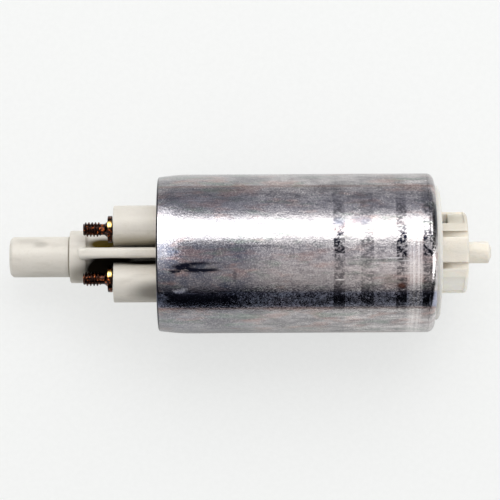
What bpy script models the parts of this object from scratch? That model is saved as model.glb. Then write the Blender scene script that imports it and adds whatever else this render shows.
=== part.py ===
"""In-tank fuel pump, built piece by piece.

The pump lies along X: outlet nipple towards -X, inlet drum towards +X.
Z points away from the surface that it lies on, and the origin is the centre of its box.
"""

import math

import bmesh
import bpy
from mathutils import Vector

# Clearances
FIT_GAP = 0.0003
CUT_PAST = 0.0010
WELD = 0.000001

# Lengths along the pump, from the outlet end to the inlet end
NIPPLE_LENGTH = 0.0145
COLLAR_LENGTH = 0.0041
STUD_SPACE = 0.0068
TOWER_HEIGHT = 0.0106
CASING_LENGTH = 0.0657
FLANGE_PROUD = 0.0013
DRUM_HEIGHT = 0.0066
PIN_HEIGHT = 0.0060

# Casing can
CASING_DIAMETER = 0.0380
CASING_WALL = 0.0010
TAPER_LENGTH = 0.0070
TAPER_DEPTH = 0.00055
RIM_CORNER = 0.0006
RIM_BEND = 0.0002
RIM_LAND = 0.0035
CURL_RADIUS = 0.0018
LIP_TURN = 0.0008

# Outlet cap
CAP_THICKNESS = 0.0100
SEAL_GROOVE_DEPTH = 0.0018
SEAL_GROOVE_WIDTH = 0.0020
SEAL_GROOVE_SETBACK = 0.0009
SPOUT_SHARE = 0.3816
NIPPLE_DIAMETER = 0.0098
NIPPLE_BORE = 0.0064
NIPPLE_CHAMFER = 0.0007
COLLAR_DIAMETER = 0.0127
COLLAR_CHAMFER = 0.0003
BASE_DIAMETER = 0.0106
PASSAGE_DIAMETER = 0.0044
TOWER_DIAMETER = 0.0096
TOWER_SHIFT = 0.0009
TOWER_ROUND = 0.0005
TOWER_WALL = 0.0027
WEB_THICKNESS = 0.00235
WEB_SETBACK = 0.0025
WEB_TOP = 0.0064
WEB_ROUND = 0.0006

# Terminal studs
STUD_OFFSET = 0.0059
STUD_HEIGHT = 0.0012
STUD_THREAD_DIAMETER = 0.0035
STUD_THREAD_LENGTH = 0.0046
STUD_TIP_CHAMFER = 0.0004
STUD_NECK_DIAMETER = 0.0027
STUD_LENGTH = 0.0073
STUD_FLARE_LENGTH = 0.0008
STUD_FLARE_DIAMETER = 0.0040
STUD_FLANGE_DIAMETER = 0.0065
STUD_FLANGE_THICKNESS = 0.0011
STUD_SHANK_DIAMETER = 0.0026
STUD_FOOT_DIAMETER = 0.0032
STUD_FOOT_THICKNESS = 0.0008

# Brushes
BRUSH_WIDTH = 0.0042
BRUSH_HEIGHT = 0.0052
BRUSH_LENGTH = 0.0096
BRUSH_SHIFT = 0.0004
BRUSH_EDGE = 0.0003
BRUSH_REACH = 0.0028
BRUSH_SPRING_DIAMETER = 0.0038
BRUSH_SPRING_WIRE = 0.0004
BRUSH_SPRING_TURNS = 5
LEAD_DIAMETER = 0.0008
LEAD_SLACK = 0.0005

# Check valve in the spout
VALVE_SEAT_DEPTH = 0.0030
VALVE_HEAD_DIAMETER = 0.0054
VALVE_HEAD_THICKNESS = 0.0014
VALVE_NOSE_LENGTH = 0.0012
VALVE_STEM_DIAMETER = 0.0016
VALVE_STEM_PAST = 0.0005
VALVE_SPRING_SPACE = 0.0040
VALVE_SPRING_DIAMETER = 0.0036
VALVE_SPRING_WIRE = 0.00035
VALVE_SPRING_TURNS = 3
VALVE_CAGE_THICKNESS = 0.0014
VALVE_CAGE_RIM = 0.0007
VALVE_CAGE_ARM = 0.0008

# Relief valve in the outlet cap
RELIEF_WALL = 0.0018
RELIEF_BORE = 0.0044
RELIEF_HOLE = 0.0022
RELIEF_SEAT_DEPTH = 0.0026
RELIEF_BALL_DIAMETER = 0.0034
RELIEF_PLUG_THICKNESS = 0.0009
RELIEF_PLUG_HOLE = 0.0016
RELIEF_SPRING_DIAMETER = 0.0028
RELIEF_SPRING_WIRE = 0.0003
RELIEF_SPRING_TURNS = 3

# Motor, where each share is of the casing's radius
FLUX_RING_WALL = 0.0011
MAGNET_SHARE = 0.2316
MAGNET_ANGLE = 140.0
MAGNET_PAST_CORE = 0.0015
AIR_GAP = 0.0005
CLIP_THICKNESS = 0.0005
SHAFT_DIAMETER = 0.0040
SHAFT_CHAMFER = 0.0003
SHAFT_PAST_BUSH = 0.0006
SHAFT_PAST_IMPELLER = 0.0008
BUSH_WALL = 0.0012
BUSH_LENGTH = 0.0050
COMMUTATOR_PROUD = 0.0003
COMMUTATOR_THICKNESS = 0.0030
COMMUTATOR_SLOT_WIDTH = 0.0005
COMMUTATOR_SLOT_DEPTH = 0.0010
COMMUTATOR_BARS = 8
CORE_TEETH = 8
YOKE_SHARE = 0.158
TOOTH_SHARE = 0.158
SHOE_SHARE = 0.079
CORE_SLIT = 0.0014
WINDING_OVERHANG = 0.0044
WINDING_EDGE = 0.0012
WASHER_THICKNESS = 0.0007
WASHER_WALL = 0.0022

# Pump
PUMP_BODY_THICKNESS = 0.0066
PUMP_BODY_RECESS = 0.0024
PUMP_BODY_RIM = 0.0026
PUMP_BODY_HUB_WALL = 0.0024
COVER_THICKNESS = 0.0102
CHANNEL_INSET = 0.0022
CHANNEL_BORE = 0.0030
CHANNEL_SWEEP = 310.0
PORT_LEAN = 0.55
POCKET_RIM = 0.0028
IMPELLER_THICKNESS = 0.0028
IMPELLER_BLADES = 31
IMPELLER_BLADE_LENGTH = 0.0032
BLADE_ROOT_SHARE = 0.64
BLADE_TIP_SHARE = 0.40
IMPELLER_WEB = 0.0006
POCKET_CLEARANCE = 0.0005
DRIVE_FLAT = 0.0006

# Inlet flange, drum and pin
FLANGE_ROUND = 0.0009
DRUM_DIAMETER = 0.0194
DRUM_WALL = 0.0026
DRUM_CHAMFER = 0.0006
DRUM_END_WALL = 0.0016
DRUM_HOLLOW_DEPTH = 0.0030
DRUM_POST_DIAMETER = 0.0068
RIB_WIDTH = 0.00594
SLOT_WIDTH = 0.00148
SLOT_SLOPE = 12.0
SLOT_END_DEPTH = 0.0002
BAND_START = 42.0
BAND_END = 84.0
WINDOW_INSET = 1.5
WINDOW_HEIGHT = 0.0016
BAND_DEPTH = 0.0004
PIN_DIAMETER = 0.0052
PIN_TIP_DIAMETER = 0.0022
PIN_CHAMFER = 0.0007

# Facets: round a circle, Blender's added facets in a quarter of a wire, and steps along arcs
FINE = 40
MEDIUM = 28
COARSE = 16
WIRE_SIDES = 1
CHANNEL_SIDES = 2
CHANNEL_STEPS = 22
MAGNET_STEPS = 12
BAND_STEPS = 4
BALL_STEPS = 7
COIL_STEPS = 8
SMOOTH_ANGLE = 35.0

# Stations along X, worked out from the lengths above
OVERALL_LENGTH = (NIPPLE_LENGTH + COLLAR_LENGTH + STUD_SPACE + TOWER_HEIGHT + CASING_LENGTH
                  + FLANGE_PROUD + DRUM_HEIGHT + PIN_HEIGHT)
X_OUTLET_END = -OVERALL_LENGTH / 2
X_COLLAR = X_OUTLET_END + NIPPLE_LENGTH
X_BASE = X_COLLAR + COLLAR_LENGTH
X_TOWER = X_BASE + STUD_SPACE
X_CASING = X_TOWER + TOWER_HEIGHT
X_CASING_END = X_CASING + CASING_LENGTH
X_FLANGE = X_CASING_END + FLANGE_PROUD
X_DRUM_END = X_FLANGE + DRUM_HEIGHT
X_PIN_END = X_DRUM_END + PIN_HEIGHT

X_TAPER = X_CASING + TAPER_LENGTH
X_CAP_SHOULDER = X_CASING + CASING_WALL + FIT_GAP
X_CAP_INNER = X_CASING + CAP_THICKNESS
X_CHAMBER = X_TOWER + TOWER_WALL
X_VALVE_SEAT = X_CASING - VALVE_SEAT_DEPTH
X_RELIEF_SEAT = X_CAP_INNER - RELIEF_SEAT_DEPTH

X_COMMUTATOR = X_CAP_INNER + BRUSH_REACH + FIT_GAP
X_WINDING = X_COMMUTATOR + COMMUTATOR_THICKNESS + FIT_GAP
X_CORE = X_WINDING + WINDING_OVERHANG + FIT_GAP
X_COVER = X_FLANGE - COVER_THICKNESS
X_PUMP_BODY_END = X_COVER - FIT_GAP
X_PUMP_BODY = X_PUMP_BODY_END - PUMP_BODY_THICKNESS
X_WASHER = X_PUMP_BODY - FIT_GAP - WASHER_THICKNESS
X_WINDING_END = X_WASHER - FIT_GAP
X_CORE_END = X_WINDING_END - WINDING_OVERHANG - FIT_GAP
X_IMPELLER = X_PUMP_BODY_END + FIT_GAP
X_IMPELLER_END = X_IMPELLER + IMPELLER_THICKNESS
X_POCKET = X_IMPELLER_END + FIT_GAP
X_SHAFT = X_CAP_INNER - BUSH_LENGTH - SHAFT_PAST_BUSH
X_SHAFT_END = X_IMPELLER_END + SHAFT_PAST_IMPELLER

# Radii that follow from the casing and the shaft
CASING_R = CASING_DIAMETER / 2
CASING_INNER_R = CASING_R - CASING_WALL
INSIDE_R = CASING_INNER_R - FIT_GAP
LIP_R = CASING_R - CURL_RADIUS
LIP_EDGE_R = LIP_R - LIP_TURN
RIM_OPENING = CASING_DIAMETER - 2 * RIM_LAND
SPOUT_DROP = CASING_R * SPOUT_SHARE
RELIEF_HEIGHT = RIM_OPENING / 2 - FIT_GAP - RELIEF_WALL - RELIEF_BORE / 2
FLUX_INNER_R = INSIDE_R - FLUX_RING_WALL
MAGNET_R = FLUX_INNER_R - FIT_GAP
MAGNET_THICKNESS = CASING_R * MAGNET_SHARE
MAGNET_INNER_R = MAGNET_R - MAGNET_THICKNESS
CORE_R = MAGNET_INNER_R - AIR_GAP
CORE_YOKE = CASING_R * YOKE_SHARE
CORE_TOOTH_WIDTH = CASING_R * TOOTH_SHARE
CORE_SHOE = CASING_R * SHOE_SHARE
WINDING_R = CORE_R - CORE_SHOE
COMMUTATOR_R = WINDING_R + COMMUTATOR_PROUD
POCKET_R = INSIDE_R - POCKET_RIM
IMPELLER_R = POCKET_R - POCKET_CLEARANCE
CHANNEL_RADIUS = IMPELLER_R - CHANNEL_INSET
SHAFT_R = SHAFT_DIAMETER / 2
SHAFT_HOLE_R = SHAFT_R + FIT_GAP
BUSH_R = SHAFT_HOLE_R + BUSH_WALL
BUSH_POCKET_R = BUSH_R + FIT_GAP
BRUSH_OFFSET = STUD_OFFSET + BRUSH_SHIFT
TOWER_OFFSET = STUD_OFFSET + TOWER_SHIFT
DRUM_R = DRUM_DIAMETER / 2

ALONG_X = (0.0, math.radians(90.0), 0.0)
SIDES = {"positive": 1.0, "negative": -1.0}


def linear(channel):
    """Turn one sRGB channel from 0 to 1 into a linear one."""
    return channel / 12.92 if channel <= 0.04045 else ((channel + 0.055) / 1.055) ** 2.4


def finish(name, colour, roughness, metallic=0.0):
    """Make a Principled material from an sRGB hex colour."""
    material = bpy.data.materials.new(name)
    material.use_nodes = True
    shader = material.node_tree.nodes["Principled BSDF"]
    channels = [linear(int(colour[i:i + 2], 16) / 255) for i in (1, 3, 5)]
    shader.inputs["Base Color"].default_value = (*channels, 1.0)
    shader.inputs["Roughness"].default_value = roughness
    shader.inputs["Metallic"].default_value = metallic
    return material


def clear_scene():
    """Remove the start-up scene's objects."""
    for thing in list(bpy.data.objects):
        bpy.data.objects.remove(thing, do_unlink=True)


def new_collection(name):
    """Make a collection in the scene."""
    collection = bpy.data.collections.new(name)
    bpy.context.scene.collection.children.link(collection)
    return collection


def place(thing, collection, material=None):
    """Link an object, with its material, or as a cutter that isn't rendered."""
    collection.objects.link(thing)
    if material:
        thing.data.materials.append(material)
    else:
        thing.hide_render = True
        thing.display_type = "WIRE"
    return thing


def smooth_by_angle():
    """Make the node group that shades round faces smooth and keeps real edges sharp."""
    tree = bpy.data.node_groups.new("smooth by angle", "GeometryNodeTree")
    tree.interface.new_socket("Geometry", in_out="INPUT", socket_type="NodeSocketGeometry")
    tree.interface.new_socket("Geometry", in_out="OUTPUT", socket_type="NodeSocketGeometry")
    start = tree.nodes.new("NodeGroupInput")
    end = tree.nodes.new("NodeGroupOutput")
    angle = tree.nodes.new("GeometryNodeInputMeshEdgeAngle")
    shallow = tree.nodes.new("FunctionNodeCompare")
    shallow.data_type = "FLOAT"
    shallow.operation = "LESS_THAN"
    shallow.inputs["B"].default_value = math.radians(SMOOTH_ANGLE)
    faces = tree.nodes.new("GeometryNodeSetShadeSmooth")
    edges = tree.nodes.new("GeometryNodeSetShadeSmooth")
    edges.domain = "EDGE"
    tree.links.new(start.outputs[0], faces.inputs["Geometry"])
    tree.links.new(faces.outputs[0], edges.inputs["Geometry"])
    tree.links.new(angle.outputs["Unsigned Angle"], shallow.inputs["A"])
    tree.links.new(shallow.outputs["Result"], edges.inputs["Shade Smooth"])
    tree.links.new(edges.outputs[0], end.inputs[0])
    return tree


def arc(x, radius, bend, start, end, steps):
    """Points on an arc round (x, radius), from one angle to another in degrees from +X."""
    points = []
    for step in range(steps + 1):
        angle = math.radians(start + (end - start) * step / steps)
        points.append((x + bend * math.cos(angle), radius + bend * math.sin(angle)))
    return points


def turned(name, outline, steps, ring=False, y=0.0, z=0.0):
    """Revolve an outline of (x, radius) points, from the inlet end down its outer side."""
    mesh = bpy.data.meshes.new(name)
    edges = [(i, i + 1) for i in range(len(outline) - 1)]
    if ring:
        edges.append((len(outline) - 1, 0))
    mesh.from_pydata([(radius, 0.0, x) for x, radius in outline], edges, [])
    piece = bpy.data.objects.new(name, mesh)
    piece.location = (0.0, y, z)
    piece.rotation_euler = ALONG_X
    screw = piece.modifiers.new("turn", "SCREW")
    screw.axis = "Z"
    screw.steps = screw.render_steps = steps
    screw.use_merge_vertices = True
    screw.merge_threshold = WELD
    screw.use_normal_calculate = False
    return piece


def block(name, low, high, edge=0.0):
    """A box between two corners, with its edges rounded if asked."""
    low, high = Vector(low), Vector(high)
    mesh = bpy.data.meshes.new(name)
    shape = bmesh.new()
    bmesh.ops.create_cube(shape, size=1.0)
    bmesh.ops.scale(shape, vec=high - low, verts=shape.verts)
    shape.to_mesh(mesh)
    shape.free()
    piece = bpy.data.objects.new(name, mesh)
    piece.location = (low + high) / 2
    if edge:
        bevel = piece.modifiers.new("rounded edges", "BEVEL")
        bevel.width = edge
        bevel.segments = 2
    return piece


def slab(name, loops, x_start, x_end):
    """Extrude flat outlines of (y, z) points along X, from one station to another."""
    curve = bpy.data.curves.new(name, "CURVE")
    curve.dimensions = "2D"
    curve.fill_mode = "BOTH"
    curve.extrude = (x_end - x_start) / 2
    for loop in loops:
        spline = curve.splines.new("POLY")
        spline.points.add(len(loop) - 1)
        for point, (y, z) in zip(spline.points, loop):
            point.co = (-z, y, 0.0, 1.0)
        spline.use_cyclic_u = True
    piece = bpy.data.objects.new(name, curve)
    piece.location = ((x_start + x_end) / 2, 0.0, 0.0)
    piece.rotation_euler = ALONG_X
    return piece


def wire(name, points, diameter, sides=WIRE_SIDES):
    """A round wire along a list of points."""
    curve = bpy.data.curves.new(name, "CURVE")
    curve.dimensions = "3D"
    curve.bevel_depth = diameter / 2
    curve.bevel_resolution = sides
    curve.use_fill_caps = True
    spline = curve.splines.new("POLY")
    spline.points.add(len(points) - 1)
    for point, place_of in zip(spline.points, points):
        point.co = (*place_of, 1.0)
    return bpy.data.objects.new(name, curve)


def coil_points(x_start, x_end, radius, turns):
    """Points along a coil round X."""
    count = turns * COIL_STEPS
    points = []
    for step in range(count + 1):
        angle = math.tau * step / COIL_STEPS
        x = x_start + (x_end - x_start) * step / count
        points.append((x, radius * math.cos(angle), radius * math.sin(angle)))
    return points


def polar(radius, degrees):
    """A (y, z) point at a radius, by its angle from +Z towards +Y."""
    angle = math.radians(degrees)
    return (radius * math.sin(angle), radius * math.cos(angle))


def sector(inner, outer, start, end, steps):
    """The outline of a stretch of a flat ring between two angles in degrees."""
    angles = [start + (end - start) * step / steps for step in range(steps + 1)]
    return ([polar(outer, angle) for angle in angles]
            + [polar(inner, angle) for angle in reversed(angles)])


def circle(radius, steps):
    """A round outline."""
    return [polar(radius, 360.0 * step / steps) for step in range(steps)]


class Builder:
    """Holds the collections, materials and finished pieces."""

    def __init__(self):
        clear_scene()
        self.pieces = new_collection("in_tank_fuel_pump")
        self.cutters = new_collection("cutters")
        self.smooth = smooth_by_angle()

    def piece(self, thing, colour, roughness, metallic=0.0):
        """Add a sub-part, with a material named for it."""
        return place(thing, self.pieces, finish(thing.name, colour, roughness, metallic))

    def tool(self, thing):
        """Add a cutter or a shape that is joined to another."""
        return place(thing, self.cutters)

    def boolean(self, piece, operation, tools):
        """Cut or join shapes, one Boolean modifier for each."""
        for tool in tools:
            modifier = piece.modifiers.new(tool.name, "BOOLEAN")
            modifier.operation = operation
            modifier.object = tool
            modifier.solver = "EXACT"

    def cut(self, piece, *tools):
        self.boolean(piece, "DIFFERENCE", tools)

    def join(self, piece, *tools):
        self.boolean(piece, "UNION", tools)

    def shade(self):
        """Shade every mesh piece smooth, apart from its real edges."""
        for piece in self.pieces.objects:
            if piece.type == "MESH":
                piece.modifiers.new("smooth", "NODES").node_group = self.smooth


def meshed(curve):
    """Turn a curve object into a closed mesh object, so that a Boolean can use it."""
    bpy.context.scene.collection.objects.link(curve)
    bpy.context.view_layer.update()
    graph = bpy.context.evaluated_depsgraph_get()
    mesh = bpy.data.meshes.new_from_object(curve.evaluated_get(graph))
    shape = bmesh.new()
    shape.from_mesh(mesh)
    bmesh.ops.remove_doubles(shape, verts=shape.verts, dist=WELD)
    shape.to_mesh(mesh)
    shape.free()
    name, place_of = curve.name, curve.matrix_world.copy()
    bpy.data.objects.remove(curve, do_unlink=True)
    solid = bpy.data.objects.new(name, mesh)
    solid.matrix_world = place_of
    return solid


def casing_inner_radius(x):
    """The can's inner radius at a station: straight, then drawn in to the outlet end."""
    drawn = max(0.0, min(1.0, (X_TAPER - x) / (TAPER_LENGTH - CASING_WALL - RIM_BEND)))
    return CASING_INNER_R - TAPER_DEPTH * drawn


def make_casing(build):
    """The metal can, drawn in at the outlet end and turned over at the inlet end."""
    drawn_r = CASING_R - TAPER_DEPTH
    curl_x = X_CASING_END - CURL_RADIUS
    outline = [(X_CASING_END - CASING_WALL, LIP_EDGE_R), (X_CASING_END, LIP_EDGE_R)]
    outline += arc(curl_x, LIP_R, CURL_RADIUS, 0.0, 90.0, 5)
    outline += [(X_TAPER, CASING_R)]
    outline += arc(X_CASING + RIM_CORNER, drawn_r - RIM_CORNER, RIM_CORNER, 90.0, 180.0, 3)
    outline += [(X_CASING, RIM_OPENING / 2), (X_CASING + CASING_WALL, RIM_OPENING / 2)]
    outline += arc(X_CASING + CASING_WALL + RIM_BEND, drawn_r - CASING_WALL - RIM_BEND, RIM_BEND,
                   180.0, 90.0, 2)
    outline += [(X_TAPER, CASING_INNER_R)]
    outline += arc(curl_x, LIP_R, CURL_RADIUS - CASING_WALL, 90.0, 0.0, 4)
    build.piece(turned("casing_can", outline, FINE, ring=True), "#A3A3A6", 0.42, 1.0)


def seal_groove(x_start, outer_r):
    """Outline points of a seal groove, from its inlet side to its outlet side."""
    floor = outer_r - SEAL_GROOVE_DEPTH
    x_end = x_start + SEAL_GROOVE_WIDTH
    return [(x_end, outer_r), (x_end, floor), (x_start, floor), (x_start, outer_r)]


def make_seal(build, name, x_start):
    """A round seal ring in a groove that starts at a station."""
    half = (SEAL_GROOVE_DEPTH - FIT_GAP) / 2
    middle = x_start + SEAL_GROOVE_WIDTH / 2
    outline = arc(middle, INSIDE_R - half, half, 0.0, 315.0, 7)
    build.piece(turned(name, outline, MEDIUM, ring=True), "#1C1C1C", 0.6)


def cap_tools(build):
    """The shapes that the outlet cap is cut with."""
    open_x = X_CAP_INNER + CUT_PAST
    bore = [(open_x, 0.0), (open_x, PASSAGE_DIAMETER / 2),
            (X_VALVE_SEAT, PASSAGE_DIAMETER / 2), (X_VALVE_SEAT, NIPPLE_BORE / 2),
            (X_OUTLET_END - CUT_PAST, NIPPLE_BORE / 2), (X_OUTLET_END - CUT_PAST, 0.0)]
    relief = [(open_x, 0.0), (open_x, RELIEF_HOLE / 2), (X_RELIEF_SEAT, RELIEF_HOLE / 2),
              (X_RELIEF_SEAT, RELIEF_BORE / 2), (X_CASING - CUT_PAST, RELIEF_BORE / 2),
              (X_CASING - CUT_PAST, 0.0)]
    bush_x = X_CAP_INNER - BUSH_LENGTH - FIT_GAP
    shaft_x = X_SHAFT - FIT_GAP
    bush = [(open_x, 0.0), (open_x, BUSH_POCKET_R), (bush_x, BUSH_POCKET_R),
            (bush_x, SHAFT_HOLE_R), (shaft_x, SHAFT_HOLE_R), (shaft_x, 0.0)]
    tools = [build.tool(turned("spout bore", bore, COARSE, z=-SPOUT_DROP)),
             build.tool(turned("relief bore", relief, COARSE, z=RELIEF_HEIGHT)),
             build.tool(turned("outlet bush pocket", bush, COARSE))]
    half_width = BRUSH_WIDTH / 2 + FIT_GAP
    half_height = BRUSH_HEIGHT / 2 + FIT_GAP
    hole_r = STUD_SHANK_DIAMETER / 2 + FIT_GAP
    for label, side in SIDES.items():
        middle = side * BRUSH_OFFSET
        chamber = block(f"brush chamber {label}",
                        (X_CHAMBER, middle - half_width, STUD_HEIGHT - half_height),
                        (open_x, middle + half_width, STUD_HEIGHT + half_height))
        x_low, x_high = X_TOWER - CUT_PAST, X_CHAMBER + CUT_PAST
        hole = [(x_high, 0.0), (x_high, hole_r), (x_low, hole_r), (x_low, 0.0)]
        tools += [build.tool(chamber),
                  build.tool(turned(f"stud hole {label}", hole, COARSE,
                                    y=side * STUD_OFFSET, z=STUD_HEIGHT))]
    return tools


def make_outlet_cap(build):
    """The outlet moulding: body, offset spout, two terminal towers and the web."""
    boss_r = RIM_OPENING / 2 - FIT_GAP
    seal_x = X_CAP_INNER - SEAL_GROOVE_SETBACK - SEAL_GROOVE_WIDTH
    shoulder_r = casing_inner_radius(X_CAP_SHOULDER) - FIT_GAP - RIM_BEND
    body = [(X_CAP_INNER, 0.0), (X_CAP_INNER, INSIDE_R)] + seal_groove(seal_x, INSIDE_R)
    body += [(X_TAPER, INSIDE_R),
             (X_CAP_SHOULDER + RIM_BEND,
              casing_inner_radius(X_CAP_SHOULDER + RIM_BEND) - FIT_GAP),
             (X_CAP_SHOULDER, shoulder_r), (X_CAP_SHOULDER, boss_r), (X_CASING, boss_r),
             (X_CASING, 0.0)]
    cap = build.piece(turned("outlet_cap", body, FINE), "#D9D5CC", 0.5)
    root_x = X_CASING + 2 * CUT_PAST
    nipple_r, collar_r = NIPPLE_DIAMETER / 2, COLLAR_DIAMETER / 2
    spout = [(root_x, 0.0), (root_x, BASE_DIAMETER / 2), (X_BASE, BASE_DIAMETER / 2),
             (X_BASE, collar_r), (X_COLLAR + COLLAR_CHAMFER, collar_r),
             (X_COLLAR, collar_r - COLLAR_CHAMFER), (X_COLLAR, nipple_r),
             (X_OUTLET_END + NIPPLE_CHAMFER, nipple_r),
             (X_OUTLET_END, nipple_r - NIPPLE_CHAMFER), (X_OUTLET_END, 0.0)]
    web_foot = (BASE_DIAMETER + NIPPLE_BORE) / 4 - SPOUT_DROP
    web = block("web", (X_COLLAR + WEB_SETBACK, -WEB_THICKNESS / 2, web_foot),
                (root_x, WEB_THICKNESS / 2, WEB_TOP), WEB_ROUND)
    build.join(cap, build.tool(turned("spout", spout, MEDIUM, z=-SPOUT_DROP)))
    tower_r = TOWER_DIAMETER / 2
    tower = [(root_x, 0.0), (root_x, tower_r)]
    tower += arc(X_TOWER + TOWER_ROUND, tower_r - TOWER_ROUND, TOWER_ROUND, 90.0, 180.0, 3)
    tower += [(X_TOWER, 0.0)]
    for label, side in SIDES.items():
        build.join(cap, build.tool(turned(f"tower {label}", tower, MEDIUM,
                                          y=side * TOWER_OFFSET, z=STUD_HEIGHT)))
    build.join(cap, build.tool(web))
    build.cut(cap, *cap_tools(build))
    make_seal(build, "cap_seal_ring", seal_x)


def make_studs(build):
    """The two terminal studs, each with its flange outside and its foot inside the tower."""
    back_x = X_TOWER - FIT_GAP
    face_x = back_x - STUD_FLANGE_THICKNESS
    tip_x = X_TOWER - STUD_LENGTH
    foot_x = X_CHAMBER + FIT_GAP
    shank_r, neck_r = STUD_SHANK_DIAMETER / 2, STUD_NECK_DIAMETER / 2
    thread_r = STUD_THREAD_DIAMETER / 2
    outline = [(foot_x + STUD_FOOT_THICKNESS, 0.0),
               (foot_x + STUD_FOOT_THICKNESS, STUD_FOOT_DIAMETER / 2),
               (foot_x, STUD_FOOT_DIAMETER / 2), (foot_x, shank_r), (back_x, shank_r),
               (back_x, STUD_FLANGE_DIAMETER / 2), (face_x, STUD_FLANGE_DIAMETER / 2),
               (face_x, STUD_FLARE_DIAMETER / 2), (face_x - STUD_FLARE_LENGTH, neck_r),
               (tip_x + STUD_THREAD_LENGTH, neck_r), (tip_x + STUD_THREAD_LENGTH, thread_r),
               (tip_x + STUD_TIP_CHAMFER, thread_r), (tip_x, thread_r - STUD_TIP_CHAMFER),
               (tip_x, 0.0)]
    for label, side in SIDES.items():
        build.piece(turned(f"terminal_stud_{label}", outline, COARSE,
                           y=side * STUD_OFFSET, z=STUD_HEIGHT), "#9A6A2C", 0.3, 1.0)


def make_brushes(build):
    """Carbon brushes in their chambers, with the spring and flexible lead behind each."""
    tip_x = X_COMMUTATOR - FIT_GAP
    back_x = tip_x - BRUSH_LENGTH
    foot_x = X_CHAMBER + FIT_GAP + STUD_FOOT_THICKNESS
    half_wire = BRUSH_SPRING_WIRE / 2
    coil_r = (BRUSH_SPRING_DIAMETER - BRUSH_SPRING_WIRE) / 2
    coil = coil_points(foot_x + FIT_GAP + half_wire, back_x - FIT_GAP - half_wire, coil_r,
                       BRUSH_SPRING_TURNS)
    lead_start, lead_end = foot_x + FIT_GAP, back_x - FIT_GAP
    lead = []
    for step in range(COIL_STEPS + 1):
        share = step / COIL_STEPS
        lead.append((lead_start + (lead_end - lead_start) * share, 0.0,
                     LEAD_SLACK * math.sin(math.tau * share)))
    for label, side in SIDES.items():
        middle = side * BRUSH_OFFSET
        brush = block(f"brush_{label}",
                      (back_x, middle - BRUSH_WIDTH / 2, STUD_HEIGHT - BRUSH_HEIGHT / 2),
                      (tip_x, middle + BRUSH_WIDTH / 2, STUD_HEIGHT + BRUSH_HEIGHT / 2),
                      BRUSH_EDGE)
        spring = wire(f"brush_spring_{label}", coil, BRUSH_SPRING_WIRE)
        flex = wire(f"brush_lead_{label}", lead, LEAD_DIAMETER)
        spring.location = flex.location = (0.0, middle, STUD_HEIGHT)
        build.piece(brush, "#2B2A2C", 0.55)
        build.piece(spring, "#B9B9BC", 0.3, 1.0)
        build.piece(flex, "#B46A3C", 0.45, 1.0)


def make_check_valve(build):
    """The valve that keeps fuel in the line: poppet, spring and cage in the spout."""
    head_x = X_VALVE_SEAT - FIT_GAP
    back_x = head_x - VALVE_HEAD_THICKNESS
    cage_x = back_x - VALVE_SPRING_SPACE
    cage_end_x = cage_x - VALVE_CAGE_THICKNESS
    stem_x = cage_end_x - VALVE_STEM_PAST
    nose_r = PASSAGE_DIAMETER / 2 - FIT_GAP
    stem_r = VALVE_STEM_DIAMETER / 2
    poppet = [(head_x + VALVE_NOSE_LENGTH, 0.0), (head_x + VALVE_NOSE_LENGTH, nose_r / 2),
              (head_x, nose_r), (head_x, VALVE_HEAD_DIAMETER / 2),
              (back_x, VALVE_HEAD_DIAMETER / 2), (back_x, stem_r), (stem_x, stem_r),
              (stem_x, 0.0)]
    build.piece(turned("check_valve_poppet", poppet, COARSE, z=-SPOUT_DROP), "#3A3A3C", 0.5)

    outer_r = NIPPLE_BORE / 2 - FIT_GAP
    rim_r = outer_r - VALVE_CAGE_RIM
    hole_r = stem_r + FIT_GAP
    hub_r = hole_r + VALVE_CAGE_RIM
    rim = [(cage_x, rim_r), (cage_x, outer_r), (cage_end_x, outer_r), (cage_end_x, rim_r)]
    hub = [(cage_x, hole_r), (cage_x, hub_r), (cage_end_x, hub_r), (cage_end_x, hole_r)]
    cage = build.piece(turned("check_valve_cage", rim, COARSE, ring=True, z=-SPOUT_DROP),
                       "#C8B98A", 0.5)
    arm_loops = []
    for turn in (0.0, 120.0, 240.0):
        across = math.degrees(VALVE_CAGE_ARM / 2 / rim_r)
        arm_loops.append([polar(hub_r - VALVE_CAGE_RIM / 2, turn - across),
                          polar(rim_r + VALVE_CAGE_RIM / 2, turn - across),
                          polar(rim_r + VALVE_CAGE_RIM / 2, turn + across),
                          polar(hub_r - VALVE_CAGE_RIM / 2, turn + across)])
    arms = slab("cage arms", arm_loops, cage_end_x + VALVE_CAGE_RIM / 4,
                cage_x - VALVE_CAGE_RIM / 4)
    arms.location.z = -SPOUT_DROP
    build.join(cage, build.tool(turned("cage hub", hub, COARSE, ring=True, z=-SPOUT_DROP)),
               build.tool(meshed(arms)))

    half_wire = VALVE_SPRING_WIRE / 2
    coil = coil_points(cage_x + FIT_GAP + half_wire, back_x - FIT_GAP - half_wire,
                       (VALVE_SPRING_DIAMETER - VALVE_SPRING_WIRE) / 2, VALVE_SPRING_TURNS)
    spring = wire("check_valve_spring", coil, VALVE_SPRING_WIRE)
    spring.location.z = -SPOUT_DROP
    build.piece(spring, "#B9B9BC", 0.3, 1.0)


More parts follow.
